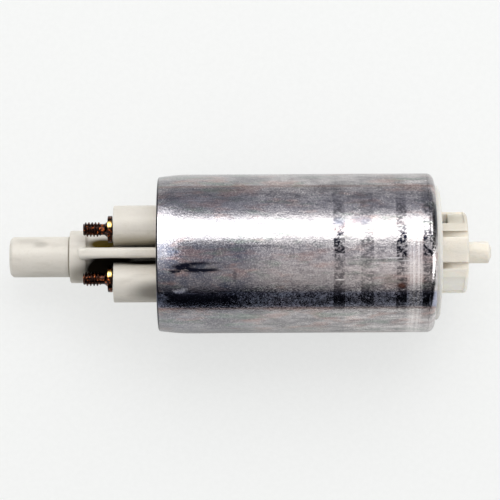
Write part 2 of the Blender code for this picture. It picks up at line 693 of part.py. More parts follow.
def make_relief_valve(build):
    """The over-pressure valve in the outlet cap: ball, spring and plug."""
    ball_r = RELIEF_BALL_DIAMETER / 2
    ball_x = X_RELIEF_SEAT - FIT_GAP - math.sqrt(ball_r ** 2 - (RELIEF_HOLE / 2) ** 2)
    plug_r = RELIEF_BORE / 2 - FIT_GAP
    plug_end_x = X_CASING + RELIEF_PLUG_THICKNESS
    hole_r = RELIEF_PLUG_HOLE / 2
    outline = arc(ball_x, 0.0, ball_r, 0.0, 180.0, BALL_STEPS)
    ball = [(x, max(radius, 0.0)) for x, radius in outline]
    plug = [(plug_end_x, hole_r), (plug_end_x, plug_r), (X_CASING, plug_r), (X_CASING, hole_r)]
    half_wire = RELIEF_SPRING_WIRE / 2
    coil = coil_points(plug_end_x + FIT_GAP + half_wire,
                       ball_x - ball_r * math.cos(math.asin(RELIEF_SPRING_DIAMETER / 4 / ball_r))
                       - FIT_GAP - half_wire,
                       (RELIEF_SPRING_DIAMETER - RELIEF_SPRING_WIRE) / 2, RELIEF_SPRING_TURNS)
    spring = wire("relief_valve_spring", coil, RELIEF_SPRING_WIRE)
    spring.location.z = RELIEF_HEIGHT
    build.piece(turned("relief_valve_ball", ball, COARSE, z=RELIEF_HEIGHT), "#C9C9CC", 0.15, 1.0)
    build.piece(turned("relief_valve_plug", plug, COARSE, ring=True, z=RELIEF_HEIGHT),
                "#B08A4A", 0.35, 1.0)
    build.piece(spring, "#B9B9BC", 0.3, 1.0)


def make_bushes(build):
    """The plain bearings at both ends of the shaft, and the thrust washer."""
    for name, x_end in (("outlet_bearing_bush", X_CAP_INNER),
                        ("inlet_bearing_bush", X_PUMP_BODY + BUSH_LENGTH)):
        x_start = x_end - BUSH_LENGTH
        ring = [(x_end, SHAFT_HOLE_R), (x_end, BUSH_R), (x_start, BUSH_R),
                (x_start, SHAFT_HOLE_R)]
        build.piece(turned(name, ring, COARSE, ring=True), "#8C6A3A", 0.45, 1.0)
    outer_r = SHAFT_HOLE_R + WASHER_WALL
    x_end = X_WASHER + WASHER_THICKNESS
    washer = [(x_end, SHAFT_HOLE_R), (x_end, outer_r), (X_WASHER, outer_r),
              (X_WASHER, SHAFT_HOLE_R)]
    build.piece(turned("thrust_washer", washer, COARSE, ring=True), "#C8B98A", 0.5)


def core_outline():
    """The lamination's toothed edge, tooth by tooth round the core."""
    pitch = 360.0 / CORE_TEETH
    root_r = SHAFT_HOLE_R + CORE_YOKE
    shoe_r = CORE_R - CORE_SHOE
    slit = math.degrees(CORE_SLIT / 2 / CORE_R)
    tooth_at_root = math.degrees(math.asin(CORE_TOOTH_WIDTH / 2 / root_r))
    tooth_at_shoe = math.degrees(math.asin(CORE_TOOTH_WIDTH / 2 / shoe_r))
    points = []
    for tooth in range(CORE_TEETH):
        middle = tooth * pitch
        tip_half = pitch / 2 - slit
        points += [polar(root_r, middle - tooth_at_root), polar(shoe_r, middle - tooth_at_shoe),
                   polar(shoe_r, middle - tip_half)]
        points += [polar(CORE_R, middle + tip_half * share) for share in (-1.0, -0.5, 0.0, 0.5, 1.0)]
        points += [polar(shoe_r, middle + tip_half), polar(shoe_r, middle + tooth_at_shoe),
                   polar(root_r, middle + tooth_at_root)]
    return points


def winding_bars():
    """One outline for the copper in each slot of the core."""
    pitch = 360.0 / CORE_TEETH
    inner_r = SHAFT_HOLE_R + CORE_YOKE + FIT_GAP
    outer_r = WINDING_R - FIT_GAP
    side = CORE_TOOTH_WIDTH / 2 + FIT_GAP
    inner_half = pitch / 2 - math.degrees(math.asin(side / inner_r))
    outer_half = pitch / 2 - math.degrees(math.asin(side / outer_r))
    bars = []
    for slot in range(CORE_TEETH):
        middle = (slot + 0.5) * pitch
        bars.append([polar(inner_r, middle - inner_half), polar(outer_r, middle - outer_half),
                     polar(outer_r, middle), polar(outer_r, middle + outer_half),
                     polar(inner_r, middle + inner_half)])
    return bars


def make_armature(build):
    """The turning parts: shaft, toothed core, winding and face commutator."""
    flat_start = X_IMPELLER - FIT_GAP
    shaft = [(X_SHAFT_END, 0.0), (X_SHAFT_END, SHAFT_R - SHAFT_CHAMFER),
             (X_SHAFT_END - SHAFT_CHAMFER, SHAFT_R), (X_SHAFT + SHAFT_CHAMFER, SHAFT_R),
             (X_SHAFT, SHAFT_R - SHAFT_CHAMFER), (X_SHAFT, 0.0)]
    flat = block("drive flat", (flat_start, -SHAFT_R - CUT_PAST, SHAFT_R - DRIVE_FLAT),
                 (X_SHAFT_END + CUT_PAST, SHAFT_R + CUT_PAST, SHAFT_R + CUT_PAST))
    rod = build.piece(turned("armature_shaft", shaft, COARSE), "#B4B6BA", 0.2, 1.0)
    build.cut(rod, build.tool(flat))

    core = slab("armature_core", [core_outline(), circle(SHAFT_HOLE_R, COARSE)], X_CORE, X_CORE_END)
    build.piece(core, "#6E7074", 0.45, 1.0)

    inner_r = SHAFT_HOLE_R + CORE_YOKE / 2
    outer_r = WINDING_R
    ends = []
    for x_low, x_high in ((X_WINDING, X_CORE - FIT_GAP), (X_CORE_END + FIT_GAP, X_WINDING_END)):
        ends.append([(x_high, inner_r), (x_high, outer_r - WINDING_EDGE),
                     (x_high - WINDING_EDGE, outer_r), (x_low + WINDING_EDGE, outer_r),
                     (x_low, outer_r - WINDING_EDGE), (x_low, inner_r)])
    winding = build.piece(turned("armature_winding", ends[0], MEDIUM, ring=True),
                          "#8A3B1E", 0.35, 0.6)
    bars = slab("winding bars", winding_bars(), X_CORE - FIT_GAP - WINDING_EDGE,
                X_CORE_END + FIT_GAP + WINDING_EDGE)
    build.join(winding, build.tool(meshed(bars)),
               build.tool(turned("winding end", ends[1], MEDIUM, ring=True)))

    x_back = X_COMMUTATOR + COMMUTATOR_THICKNESS
    disc = [(x_back, SHAFT_HOLE_R), (x_back, COMMUTATOR_R), (X_COMMUTATOR, COMMUTATOR_R),
            (X_COMMUTATOR, SHAFT_HOLE_R)]
    commutator = build.piece(turned("commutator", disc, MEDIUM, ring=True), "#B4693A", 0.3, 1.0)
    reach = COMMUTATOR_R + CUT_PAST
    for slot in range(COMMUTATOR_BARS // 2):
        saw = block(f"commutator slot {slot + 1}",
                    (X_COMMUTATOR - CUT_PAST, -reach, -COMMUTATOR_SLOT_WIDTH / 2),
                    (X_COMMUTATOR + COMMUTATOR_SLOT_DEPTH, reach, COMMUTATOR_SLOT_WIDTH / 2))
        saw.rotation_euler = (math.pi * (slot + 0.5) * 2 / COMMUTATOR_BARS, 0.0, 0.0)
        build.cut(commutator, build.tool(saw))


def ribbon(name, points, x_start, x_end, thickness):
    """A bent strip of sheet: a line of (y, z) points drawn along X and given its thickness."""
    mesh = bpy.data.meshes.new(name)
    shape = bmesh.new()
    rows = [[shape.verts.new((x, y, z)) for y, z in points] for x in (x_start, x_end)]
    for index in range(len(points) - 1):
        shape.faces.new((rows[0][index], rows[1][index], rows[1][index + 1], rows[0][index + 1]))
    shape.to_mesh(mesh)
    shape.free()
    piece = bpy.data.objects.new(name, mesh)
    solid = piece.modifiers.new("sheet", "SOLIDIFY")
    solid.thickness = thickness
    solid.offset = 0.0
    solid.use_even_offset = True
    return piece


def make_magnets(build):
    """Two magnets held against the flux ring by spring clips between them."""
    flux_start, flux_end = X_CAP_INNER + FIT_GAP, X_PUMP_BODY - FIT_GAP
    flux = [(flux_end, FLUX_INNER_R), (flux_end, INSIDE_R), (flux_start, INSIDE_R),
            (flux_start, FLUX_INNER_R)]
    build.piece(turned("flux_ring", flux, FINE, ring=True), "#7C7F84", 0.4, 1.0)
    x_start, x_end = X_CORE - MAGNET_PAST_CORE, X_CORE_END + MAGNET_PAST_CORE
    half = MAGNET_ANGLE / 2
    for name, middle in (("magnet_north", 0.0), ("magnet_south", 180.0)):
        outline = sector(MAGNET_INNER_R, MAGNET_R, middle - half, middle + half, MAGNET_STEPS)
        build.piece(slab(name, [outline], x_start, x_end), "#3C3D40", 0.6)
    back_r = MAGNET_R - CLIP_THICKNESS
    leg_r = MAGNET_INNER_R + CLIP_THICKNESS
    off_edge = FIT_GAP + CLIP_THICKNESS
    for number, middle in ((1, 90.0), (2, 270.0)):
        points = []
        for side in (-1.0, 1.0):
            leg = [polar(radius, middle + side * (90.0 - half - math.degrees(off_edge / radius)))
                   for radius in (leg_r, back_r)]
            points += leg if side < 0.0 else reversed(leg)
        points.insert(2, polar(back_r, middle))
        build.piece(ribbon(f"magnet_clip_{number}", points, x_start, x_end, CLIP_THICKNESS),
                    "#9C9EA2", 0.3, 1.0)


def channel_tool(build, name, x):
    """A stretch of round channel, centred on a face, for half of the pump's side channel."""
    points = []
    for step in range(CHANNEL_STEPS + 1):
        turn = CHANNEL_SWEEP * (step / CHANNEL_STEPS - 0.5)
        points.append((x, *polar(CHANNEL_RADIUS, 180.0 + turn)))
    return build.tool(meshed(wire(name, points, CHANNEL_BORE, CHANNEL_SIDES)))


def make_pump_body(build):
    """The plate between motor and impeller, with its bearing hub and half of the channel."""
    hub_r = BUSH_POCKET_R + PUMP_BODY_HUB_WALL
    rim_r = INSIDE_R - PUMP_BODY_RIM
    floor_x = X_PUMP_BODY + PUMP_BODY_RECESS
    bush_x = X_PUMP_BODY + BUSH_LENGTH + FIT_GAP
    outline = [(X_PUMP_BODY_END, SHAFT_HOLE_R), (X_PUMP_BODY_END, INSIDE_R),
               (X_PUMP_BODY, INSIDE_R), (X_PUMP_BODY, rim_r), (floor_x, rim_r), (floor_x, hub_r),
               (X_PUMP_BODY, hub_r), (X_PUMP_BODY, BUSH_POCKET_R), (bush_x, BUSH_POCKET_R),
               (bush_x, SHAFT_HOLE_R)]
    body = build.piece(turned("pump_body", outline, FINE, ring=True), "#A9ABAE", 0.4, 1.0)
    y, z = polar(CHANNEL_RADIUS, 180.0 + CHANNEL_SWEEP / 2)
    port_r = CHANNEL_BORE / 2 - FIT_GAP
    port = [(X_PUMP_BODY_END - FIT_GAP, 0.0), (X_PUMP_BODY_END - FIT_GAP, port_r),
            (X_PUMP_BODY - CUT_PAST, port_r), (X_PUMP_BODY - CUT_PAST, 0.0)]
    build.cut(body, channel_tool(build, "outlet side channel", X_PUMP_BODY_END),
              build.tool(turned("pump outlet port", port, COARSE, y=y, z=z)))


def make_impeller(build):
    """The bladed wheel: open blades round the rim, parted by a thin web."""
    tip_r = IMPELLER_R
    root_r = tip_r - IMPELLER_BLADE_LENGTH
    pitch = 360.0 / IMPELLER_BLADES
    root_side, tip_side = BLADE_ROOT_SHARE * pitch / 2, BLADE_TIP_SHARE * pitch / 2
    outline = []
    for blade in range(IMPELLER_BLADES):
        middle = blade * pitch
        outline += [polar(root_r, middle - root_side), polar(tip_r, middle - tip_side),
                    polar(tip_r, middle + tip_side), polar(root_r, middle + root_side)]
    wheel = build.piece(meshed(slab("impeller", [outline], X_IMPELLER, X_IMPELLER_END)),
                        "#5B4632", 0.45)
    middle_x = (X_IMPELLER + X_IMPELLER_END) / 2
    half = IMPELLER_WEB / 2
    edge_r = tip_r - IMPELLER_BLADE_LENGTH / 4
    root_half = IMPELLER_THICKNESS / 2 - FIT_GAP
    web = [(middle_x + root_half, 0.0), (middle_x + root_half, root_r - FIT_GAP),
           (middle_x + half, edge_r - FIT_GAP), (middle_x - half, edge_r - FIT_GAP),
           (middle_x - root_half, root_r - FIT_GAP), (middle_x - root_half, 0.0)]
    bore = [(X_IMPELLER_END + CUT_PAST, 0.0), (X_IMPELLER_END + CUT_PAST, SHAFT_HOLE_R),
            (X_IMPELLER - CUT_PAST, SHAFT_HOLE_R), (X_IMPELLER - CUT_PAST, 0.0)]
    key_z = SHAFT_R - DRIVE_FLAT + FIT_GAP
    hub_bore = turned("impeller bore", bore, COARSE)
    keep = block("drive flat clearance",
                 (X_IMPELLER - 2 * CUT_PAST, -SHAFT_HOLE_R - CUT_PAST, key_z),
                 (X_IMPELLER_END + 2 * CUT_PAST, SHAFT_HOLE_R + CUT_PAST,
                  SHAFT_HOLE_R + CUT_PAST))
    build.tool(hub_bore)
    build.cut(hub_bore, build.tool(keep))
    build.join(wheel, build.tool(turned("impeller web", web, MEDIUM)))
    build.cut(wheel, hub_bore)


def cover_outline():
    """The inlet moulding's outline, from the pin's tip down its outer side to the pocket."""
    curl_x = X_CASING_END - CURL_RADIUS
    flange_r = LIP_EDGE_R - FIT_GAP
    pin_r = PIN_DIAMETER / 2
    recess_x = X_SHAFT_END + FIT_GAP
    recess_r = SHAFT_R + POCKET_CLEARANCE
    points = [(X_PIN_END, 0.0), (X_PIN_END, PIN_TIP_DIAMETER / 2), (X_PIN_END - PIN_CHAMFER, pin_r),
              (X_DRUM_END, pin_r), (X_DRUM_END, DRUM_R - DRUM_CHAMFER),
              (X_DRUM_END - DRUM_CHAMFER, DRUM_R), (X_FLANGE, DRUM_R)]
    points += arc(X_FLANGE - FLANGE_ROUND, flange_r - FLANGE_ROUND, FLANGE_ROUND, 0.0, 90.0, 3)
    points += [(X_CASING_END - CASING_WALL - FIT_GAP, flange_r)]
    points += arc(curl_x, LIP_R, CURL_RADIUS - CASING_WALL - FIT_GAP, 0.0, 90.0, 3)
    seal_x = X_COVER + SEAL_GROOVE_SETBACK
    points += seal_groove(seal_x, INSIDE_R)
    points += [(X_COVER, INSIDE_R), (X_COVER, POCKET_R), (X_POCKET, POCKET_R),
               (X_POCKET, recess_r), (recess_x, recess_r), (recess_x, 0.0)]
    return points, seal_x


def drum_tools(build):
    """The hollow, windows, set-back bands and sloping slots of the inlet drum."""
    hollow_x = X_FLANGE - DRUM_HOLLOW_DEPTH
    lid_x = X_DRUM_END - DRUM_END_WALL
    post_r = DRUM_POST_DIAMETER / 2
    inner_r = DRUM_R - DRUM_WALL
    hollow = [(lid_x, post_r), (lid_x, inner_r), (hollow_x, inner_r), (hollow_x, post_r)]
    tools = [build.tool(turned("drum hollow", hollow, MEDIUM, ring=True))]
    band_loops, window_loops = [], []
    for turn in (0.0, 180.0):
        for start, end in ((BAND_START, BAND_END), (-BAND_END, -BAND_START)):
            band_loops.append(sector(DRUM_R - BAND_DEPTH, DRUM_R + CUT_PAST,
                                     turn + start, turn + end, BAND_STEPS))
        window_loops.append(sector(inner_r - CUT_PAST, DRUM_R + CUT_PAST,
                                   turn + BAND_START + WINDOW_INSET,
                                   turn + BAND_END - WINDOW_INSET, BAND_STEPS))
    foot_x = X_FLANGE + FIT_GAP
    tools.append(build.tool(meshed(slab("drum bands", band_loops, foot_x,
                                        X_DRUM_END - DRUM_CHAMFER - FIT_GAP))))
    tools.append(build.tool(meshed(slab("drum windows", window_loops, foot_x,
                                        foot_x + WINDOW_HEIGHT))))
    slot_y = (RIB_WIDTH + SLOT_WIDTH) / 2
    end_z = math.sqrt(DRUM_R ** 2 - (RIB_WIDTH / 2 + SLOT_WIDTH) ** 2) - SLOT_END_DEPTH
    fall = DRUM_HEIGHT * math.tan(math.radians(SLOT_SLOPE))
    for top in (1.0, -1.0):
        for side in (1.0, -1.0):
            saw = block(f"drum slot {'front' if top > 0.0 else 'back'} {side:+.0f}",
                        (foot_x, -SLOT_WIDTH / 2, end_z),
                        (X_DRUM_END + CUT_PAST, SLOT_WIDTH / 2, DRUM_R + CUT_PAST))
            for corner in saw.data.vertices:
                if corner.co.x < 0.0 and corner.co.z < 0.0:
                    corner.co.z -= fall
                corner.co.z = top * (corner.co.z + saw.location.z)
            if top < 0.0:
                saw.data.flip_normals()
            saw.location.y = side * slot_y
            saw.location.z = 0.0
            tools.append(build.tool(saw))
    return tools


def make_inlet_cover(build):
    """The inlet moulding: impeller pocket, flange, ribbed drum and central pin."""
    points, seal_x = cover_outline()
    cover = build.piece(turned("inlet_cover", points, FINE), "#DEDACF", 0.5)
    y, z = polar(CHANNEL_RADIUS, 180.0 - CHANNEL_SWEEP / 2)
    inward = Vector((DRUM_HOLLOW_DEPTH + CHANNEL_BORE, -y * PORT_LEAN, -z * PORT_LEAN))
    start = Vector((X_POCKET - FIT_GAP, y, z))
    port = wire("pump inlet port", [start, start + inward], CHANNEL_BORE - 2 * FIT_GAP,
                CHANNEL_SIDES)
    build.cut(cover, *drum_tools(build))
    build.cut(cover, channel_tool(build, "inlet side channel", X_POCKET),
              build.tool(meshed(port)))
    make_seal(build, "cover_seal_ring", seal_x)


def main():
    build = Builder()
    make_casing(build)
    make_outlet_cap(build)
    make_studs(build)
    make_brushes(build)
    make_check_valve(build)
    make_relief_valve(build)
    make_bushes(build)
    make_armature(build)
    make_magnets(build)
    make_pump_body(build)
    make_impeller(build)
    make_inlet_cover(build)
    build.shade()


main()
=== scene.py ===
"""Dresses the CAD frame of an in-tank fuel pump: finished pieces, materials, studio and camera.

The pump lies on pale paper, outlet nipple towards -X and inlet drum towards +X, seen from above.
"""
import math

import bmesh
import bpy
from mathutils import Matrix, Vector, noise


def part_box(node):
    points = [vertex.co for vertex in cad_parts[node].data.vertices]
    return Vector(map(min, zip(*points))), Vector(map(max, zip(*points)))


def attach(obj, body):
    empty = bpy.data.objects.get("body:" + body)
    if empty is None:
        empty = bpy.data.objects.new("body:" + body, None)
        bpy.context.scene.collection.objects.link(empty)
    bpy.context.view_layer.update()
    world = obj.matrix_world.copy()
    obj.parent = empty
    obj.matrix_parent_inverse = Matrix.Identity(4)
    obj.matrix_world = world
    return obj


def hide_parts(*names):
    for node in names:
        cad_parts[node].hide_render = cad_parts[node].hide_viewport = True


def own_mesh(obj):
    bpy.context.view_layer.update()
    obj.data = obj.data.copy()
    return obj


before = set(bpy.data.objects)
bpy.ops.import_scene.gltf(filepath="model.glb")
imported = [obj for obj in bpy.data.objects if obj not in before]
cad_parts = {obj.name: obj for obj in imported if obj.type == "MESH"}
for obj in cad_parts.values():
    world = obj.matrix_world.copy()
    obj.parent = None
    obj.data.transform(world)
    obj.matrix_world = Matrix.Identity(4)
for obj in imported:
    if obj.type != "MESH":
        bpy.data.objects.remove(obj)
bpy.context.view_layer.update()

bl_info = {
    "name": "In-tank fuel pump",
    "version": (1, 0, 0),
    "blender": (4, 5, 0),
    "location": "3D View > Sidebar > Fuel pump",
    "description": "Builds the finished pieces, materials and studio of an in-tank fuel pump",
    "category": "Object",
}

HOUSING = "housing"
SIDES = (1.0, -1.0)
TINY = 1e-7
CUT_PAST = 0.001
FIT_GAP = 0.0003
EDGE_BREAK = 0.0002
MM = 1000.0

# Stations along the pump, taken from the frame's own nodes
X_OUTLET_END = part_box("outlet_cap")[0].x
X_CAP_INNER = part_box("outlet_cap")[1].x
X_CASING, X_CASING_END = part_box("casing_can")[0].x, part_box("casing_can")[1].x
X_PIN_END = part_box("inlet_cover")[1].x
X_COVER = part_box("inlet_cover")[0].x
FLOOR_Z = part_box("casing_can")[0].z

# Kinds of node: a type, or a type with the settings that it has here
MAPPING, NOISE, BUMP = "ShaderNodeMapping", "ShaderNodeTexNoise", "ShaderNodeBump"
MATH, SPLIT, COMBINE = "ShaderNodeMath", "ShaderNodeSeparateXYZ", "ShaderNodeCombineXYZ"
RANGE, BACKGROUND = "ShaderNodeMapRange", "ShaderNodeBackground"
SOFT_RANGE = (RANGE, {"interpolation_type": "SMOOTHSTEP"})
MIX = ("ShaderNodeMix", {"data_type": "RGBA"})
DISTANCE = ("ShaderNodeVectorMath", {"operation": "LENGTH"})
TIMES, PLUS, MINUS, OVER, TIMES_PLUS, LARGER, SINE, COSINE = (
    (MATH, {"operation": operation}) for operation in
    ("MULTIPLY", "ADD", "SUBTRACT", "DIVIDE", "MULTIPLY_ADD", "MAXIMUM", "SINE", "COSINE"))


def linear(colour):
    """Turn an sRGB hex colour into linear red, green, blue and alpha."""
    channels = []
    for start in (1, 3, 5):
        value = int(colour[start:start + 2], 16) / 255
        channels.append(value / 12.92 if value <= 0.04045 else ((value + 0.055) / 1.055) ** 2.4)
    return (*channels, 1.0)


def length(name, description, default):
    """A size in metres that a user may change."""
    return bpy.props.FloatProperty(name=name, description=description, default=default,
                                   min=0.0, unit="LENGTH", precision=5)


def colour(name, description, default):
    """A colour that a user may change, given as sRGB hex."""
    return bpy.props.FloatVectorProperty(name=name, description=description, size=4,
                                         default=linear(default), min=0.0, max=1.0,
                                         subtype="COLOR")


class PumpSizes(bpy.types.PropertyGroup):
    """Sizes of the finished pieces"""

    can_radius: length("Can radius", "Outside of the drawn can", 0.0190)
    can_wall: length("Can wall", "Sheet thickness of the can", 0.0010)
    can_taper_length: length("Taper length", "How far the outlet end is drawn in along X", 0.0070)
    can_taper_depth: length("Taper depth", "How far the outlet end is drawn in", 0.00055)
    rim_corner: length("Rim corner", "Outside bend at the outlet end", 0.0006)
    rim_opening: length("Rim opening", "Radius of the hole that the cap looks through", 0.0155)
    curl_radius: length("Curl radius", "Outside bend of the rolled inlet lip", 0.0018)
    lip_turn: length("Lip turn", "How far the lip goes in past its bend", 0.0008)
    can_waviness: length("Waviness", "Depth of the rolled can's faint hollows", 0.000025)
    spout_drop: length("Spout drop", "Spout axis below the pump's axis", 0.00725)
    nipple_length: length("Nipple length", "Hose nipple in front of the collar", 0.0145)
    nipple_radius: length("Nipple radius", "Outside of the hose nipple", 0.0049)
    nipple_chamfer: length("Nipple chamfer", "Chamfer at the nipple's tip", 0.0007)
    nipple_bore: length("Nipple bore", "Radius of the hole in the nipple", 0.0032)
    collar_length: length("Collar length", "Stop collar along X", 0.0041)
    collar_radius: length("Collar radius", "Outside of the stop collar", 0.00635)
    base_radius: length("Base radius", "Spout between collar and can", 0.0053)
    tower_length: length("Tower length", "Terminal tower in front of the can", 0.0106)
    tower_radius: length("Tower radius", "Outside of a terminal tower", 0.0048)
    tower_offset: length("Tower offset", "Tower axis to each side", 0.0068)
    web_thickness: length("Web thickness", "Stiffening web across Y", 0.00235)
    web_setback: length("Web setback", "Web's free end behind the collar's face", 0.0025)
    web_foot: length("Web foot", "Bottom of the web above the spout's axis", 0.0042)
    web_top: length("Web top", "Top of the web above the axis", 0.0064)
    stud_offset: length("Stud offset", "Terminal stud to each side", 0.0059)
    stud_height: length("Stud height", "Terminal stud above the axis", 0.0012)
    stud_length: length("Stud length", "Stud in front of its tower", 0.0073)
    stud_flange: length("Stud flange", "Radius of the flange under the thread", 0.00325)
    thread_radius: length("Thread radius", "Over the thread's crests", 0.00175)
    thread_length: length("Thread length", "Threaded stretch from the tip", 0.0044)
    thread_pitch: length("Thread pitch", "32 threads an inch", 0.000794)
    thread_depth: length("Thread depth", "Crest to root", 0.00042)
    flange_proud: length("Flange height", "Inlet flange beyond the can's lip", 0.0013)
    flange_round: length("Flange edge", "Rounding of the inlet flange", 0.0009)
    drum_height: length("Drum height", "Ribbed drum beyond the flange", 0.0066)
    drum_radius: length("Drum radius", "Outside of the ribbed drum", 0.0097)
    drum_wall: length("Drum wall", "Wall round the drum's hollow", 0.0026)
    band_depth: length("Band depth", "How far the drum's side bands are set back", 0.0004)
    window_height: length("Window height", "Inlet windows along X", 0.0016)
    rib_width: length("Rib width", "Wide rib that faces up on the drum", 0.00594)
    slot_width: length("Slot width", "Sloping slots beside the wide rib", 0.00148)
    pin_radius: length("Pin radius", "Outside of the centre pin", 0.0026)
    pin_tip_radius: length("Pin tip radius", "Flat end of the centre pin", 0.0011)
    pin_chamfer: length("Pin chamfer", "Chamfer along X at the pin's tip", 0.0007)
    moulded_edge: length("Moulded edge", "Rounding of moulded edges", 0.0003)


class PumpColours(bpy.types.PropertyGroup):
    """Colours of the finished pieces"""

    can_metal: colour("Can", "Bare drawn metal", "#BDB9BA")
    can_film: colour("Can film", "Dull oxide on the can", "#A09B9D")
    # The stain colour also paints a dark line of shade along the outlet end's bent edge
    can_stain_and_edge_shade: colour("Can stain", "Dark marks on the can", "#171926")
    outlet_plastic: colour("Outlet moulding", "Natural acetal", "#DAD5CC")
    inlet_plastic: colour("Inlet moulding", "Natural acetal, creamier", "#EFE9DE")
    # The two recess colours are painted shade, laid into the mouldings' recesses, slots and corners
    # where shade falls
    outlet_recess_shade: colour("Recess dirt", "Grime and shade deep in the outlet moulding", "#17130E")
    inlet_recess_shade: colour("Recess tan", "Fuel stain in the inlet moulding's corners", "#8E7650")
    # Handling dirt also paints shade along the lower sides of the nipple, collar and lower tower
    handling_dirt_and_shade: colour("Handling dirt", "Grime rubbed into the mouldings", "#8F897F")
    stud_brass: colour("Stud", "Tarnished brass", "#26120A")
    stud_worn: colour("Stud crest", "Brass rubbed bright", "#B85E26")
    paper: colour("Paper", "Studio floor", "#F6F7F6")


# Node helpers


def wire_up(tree, node, inputs):
    """Give a node's inputs, by name or in order, their values or another node's output.

    A colour may be given as sRGB hex.
    """
    live = [socket for socket in node.inputs if socket.enabled]
    for key, value in inputs.items() if isinstance(inputs, dict) else enumerate(inputs):
        socket = live[key] if isinstance(key, int) else node.inputs[key]
        if isinstance(value, bpy.types.Node):
            value = next(output for output in value.outputs if output.enabled)
        if isinstance(value, bpy.types.NodeSocket):
            tree.links.new(value, socket)
        else:
            socket.default_value = linear(value) if isinstance(value, str) else value
    return node


def add(tree, kind, inputs=(), **settings):
    """Add a node with its settings and links."""
    kind, shared = kind if isinstance(kind, tuple) else (kind, {})
    made = tree.nodes.new(kind)
    for key, value in {**shared, **settings}.items():
        setattr(made, key, value)
    return wire_up(tree, made, inputs)


def folded(tree, kind, total, *values):
    """Take values into a total one by one, each through a node of the given kind."""
    for value in values:
        total = add(tree, kind, (total, value))
    return total


def new_material(name, shader_inputs):
    """A material with one Principled shader, its node tree, and the piece's own coordinates."""
    material = bpy.data.materials.new(name)
    material.use_nodes = True
    tree = material.node_tree
    shader = wire_up(tree, tree.nodes["Principled BSDF"], shader_inputs)
    place = add(tree, "ShaderNodeTexCoord").outputs["Object"]
    return material, tree, shader, place


def patches(tree, place, size, low, high, to_low=0.0, to_high=1.0, stretch=1.0, detail=3.0):
    """Soft patches of a size in millimetres, drawn out along X where stretch is over 1."""
    scale = MM / size
    moved = add(tree, MAPPING, {"Vector": place, "Scale": (scale / stretch, scale, scale)})
    cloud = add(tree, NOISE, {"Vector": moved, "Scale": 1.0, "Detail": detail, "Roughness": 0.6})
    return add(tree, SOFT_RANGE, (cloud, low, high, to_low, to_high))


def band(tree, value, start, end, soft):
    """1 between two stations and 0 outside them, with soft edges."""
    rise = add(tree, SOFT_RANGE, (value, start - soft, start + soft))
    fall = add(tree, SOFT_RANGE, (value, end - soft, end + soft, 1.0, 0.0))
    return add(tree, TIMES, (rise, fall))


def smudge(tree, place, centre, reach, strength):
    """A soft mark round a point, with its half sizes, all in millimetres."""
    moved = add(tree, MAPPING, {"Vector": place, "Location": [part / MM for part in centre],
                                "Scale": [part / MM for part in reach]}, vector_type="TEXTURE")
    away = add(tree, DISTANCE, (moved,))
    return add(tree, SOFT_RANGE, (away, 0.25, 1.0, strength, 0.0))


# Materials of the outside

# Stretches of the can that the rollers polished: start, end in millimetres, and how strongly
POLISHED = ((19.6, 22.2, 1.0), (22.2, 34.2, 0.20), (25.9, 29.0, 0.65), (34.2, 36.6, 1.1),
            (40.4, 42.7, 1.1))

# Mottled tints on the can: patch size in millimetres, where in the noise they start and are full,
# strength, how far they are drawn out along X, colour
CAN_TINTS = ((3.1, 0.50, 0.66, 0.40, 3.0, "#BD998E"), (2.4, 0.52, 0.68, 0.50, 4.0, "#849489"),
             (0.45, 0.46, 0.70, 0.40, 12.0, "#66646C"))

# Painted reflection along the can: a bluish tint over the lower side's dark reflection, then two
# thin lines where the reflected floor begins. Start, end and softness across it in millimetres,
# strength, colour
CAN_REFLECTION_TINT = (-13.6, -10.2, 0.5, 0.6, "#8A96B8")
CAN_REFLECTION_EDGES = ((14.7, 15.2, 0.3, 0.5, "#7A5F58"), (-14.0, -13.6, 0.3, 0.5, "#8A665C"))

# Small marks on the can: centre and half sizes in millimetres, strength, colour
CAN_MARKS = (((33.2, -2.6, 18.8), (3.6, 0.16, 2.0), 0.9, "#FFFFFF"),
             ((36.0, -3.3, 18.7), (2.4, 0.12, 2.0), 0.8, "#FFFFFF"),
             ((20.9, -7.5, 17.5), (1.6, 0.20, 2.0), 0.9, "#FFFFFF"),
             ((35.4, -9.0, 16.7), (1.5, 1.0, 2.0), 0.8, "#6B3A22"),
             ((-3.4, -6.6, 17.8), (0.8, 2.4, 3.0), 0.5, "#33323F"),
             ((3.0, 0.3, 19.0), (9.0, 0.45, 2.0), 0.4, "#3B3B48"),
             ((26.3, 6.3, 17.9), (3.2, 1.3, 3.0), 0.55, "#5E6270"),
             ((20.9, 5.9, 18.0), (2.0, 1.6, 3.0), 0.5, "#6E7280"),
             # Painted shade: the dark line that the inlet lip's curl shows where its reflection
             # turns dark
             ((43.45, 6.4, 17.0), (0.85, 8.5, 5.0), 0.95, "#2E3138"))


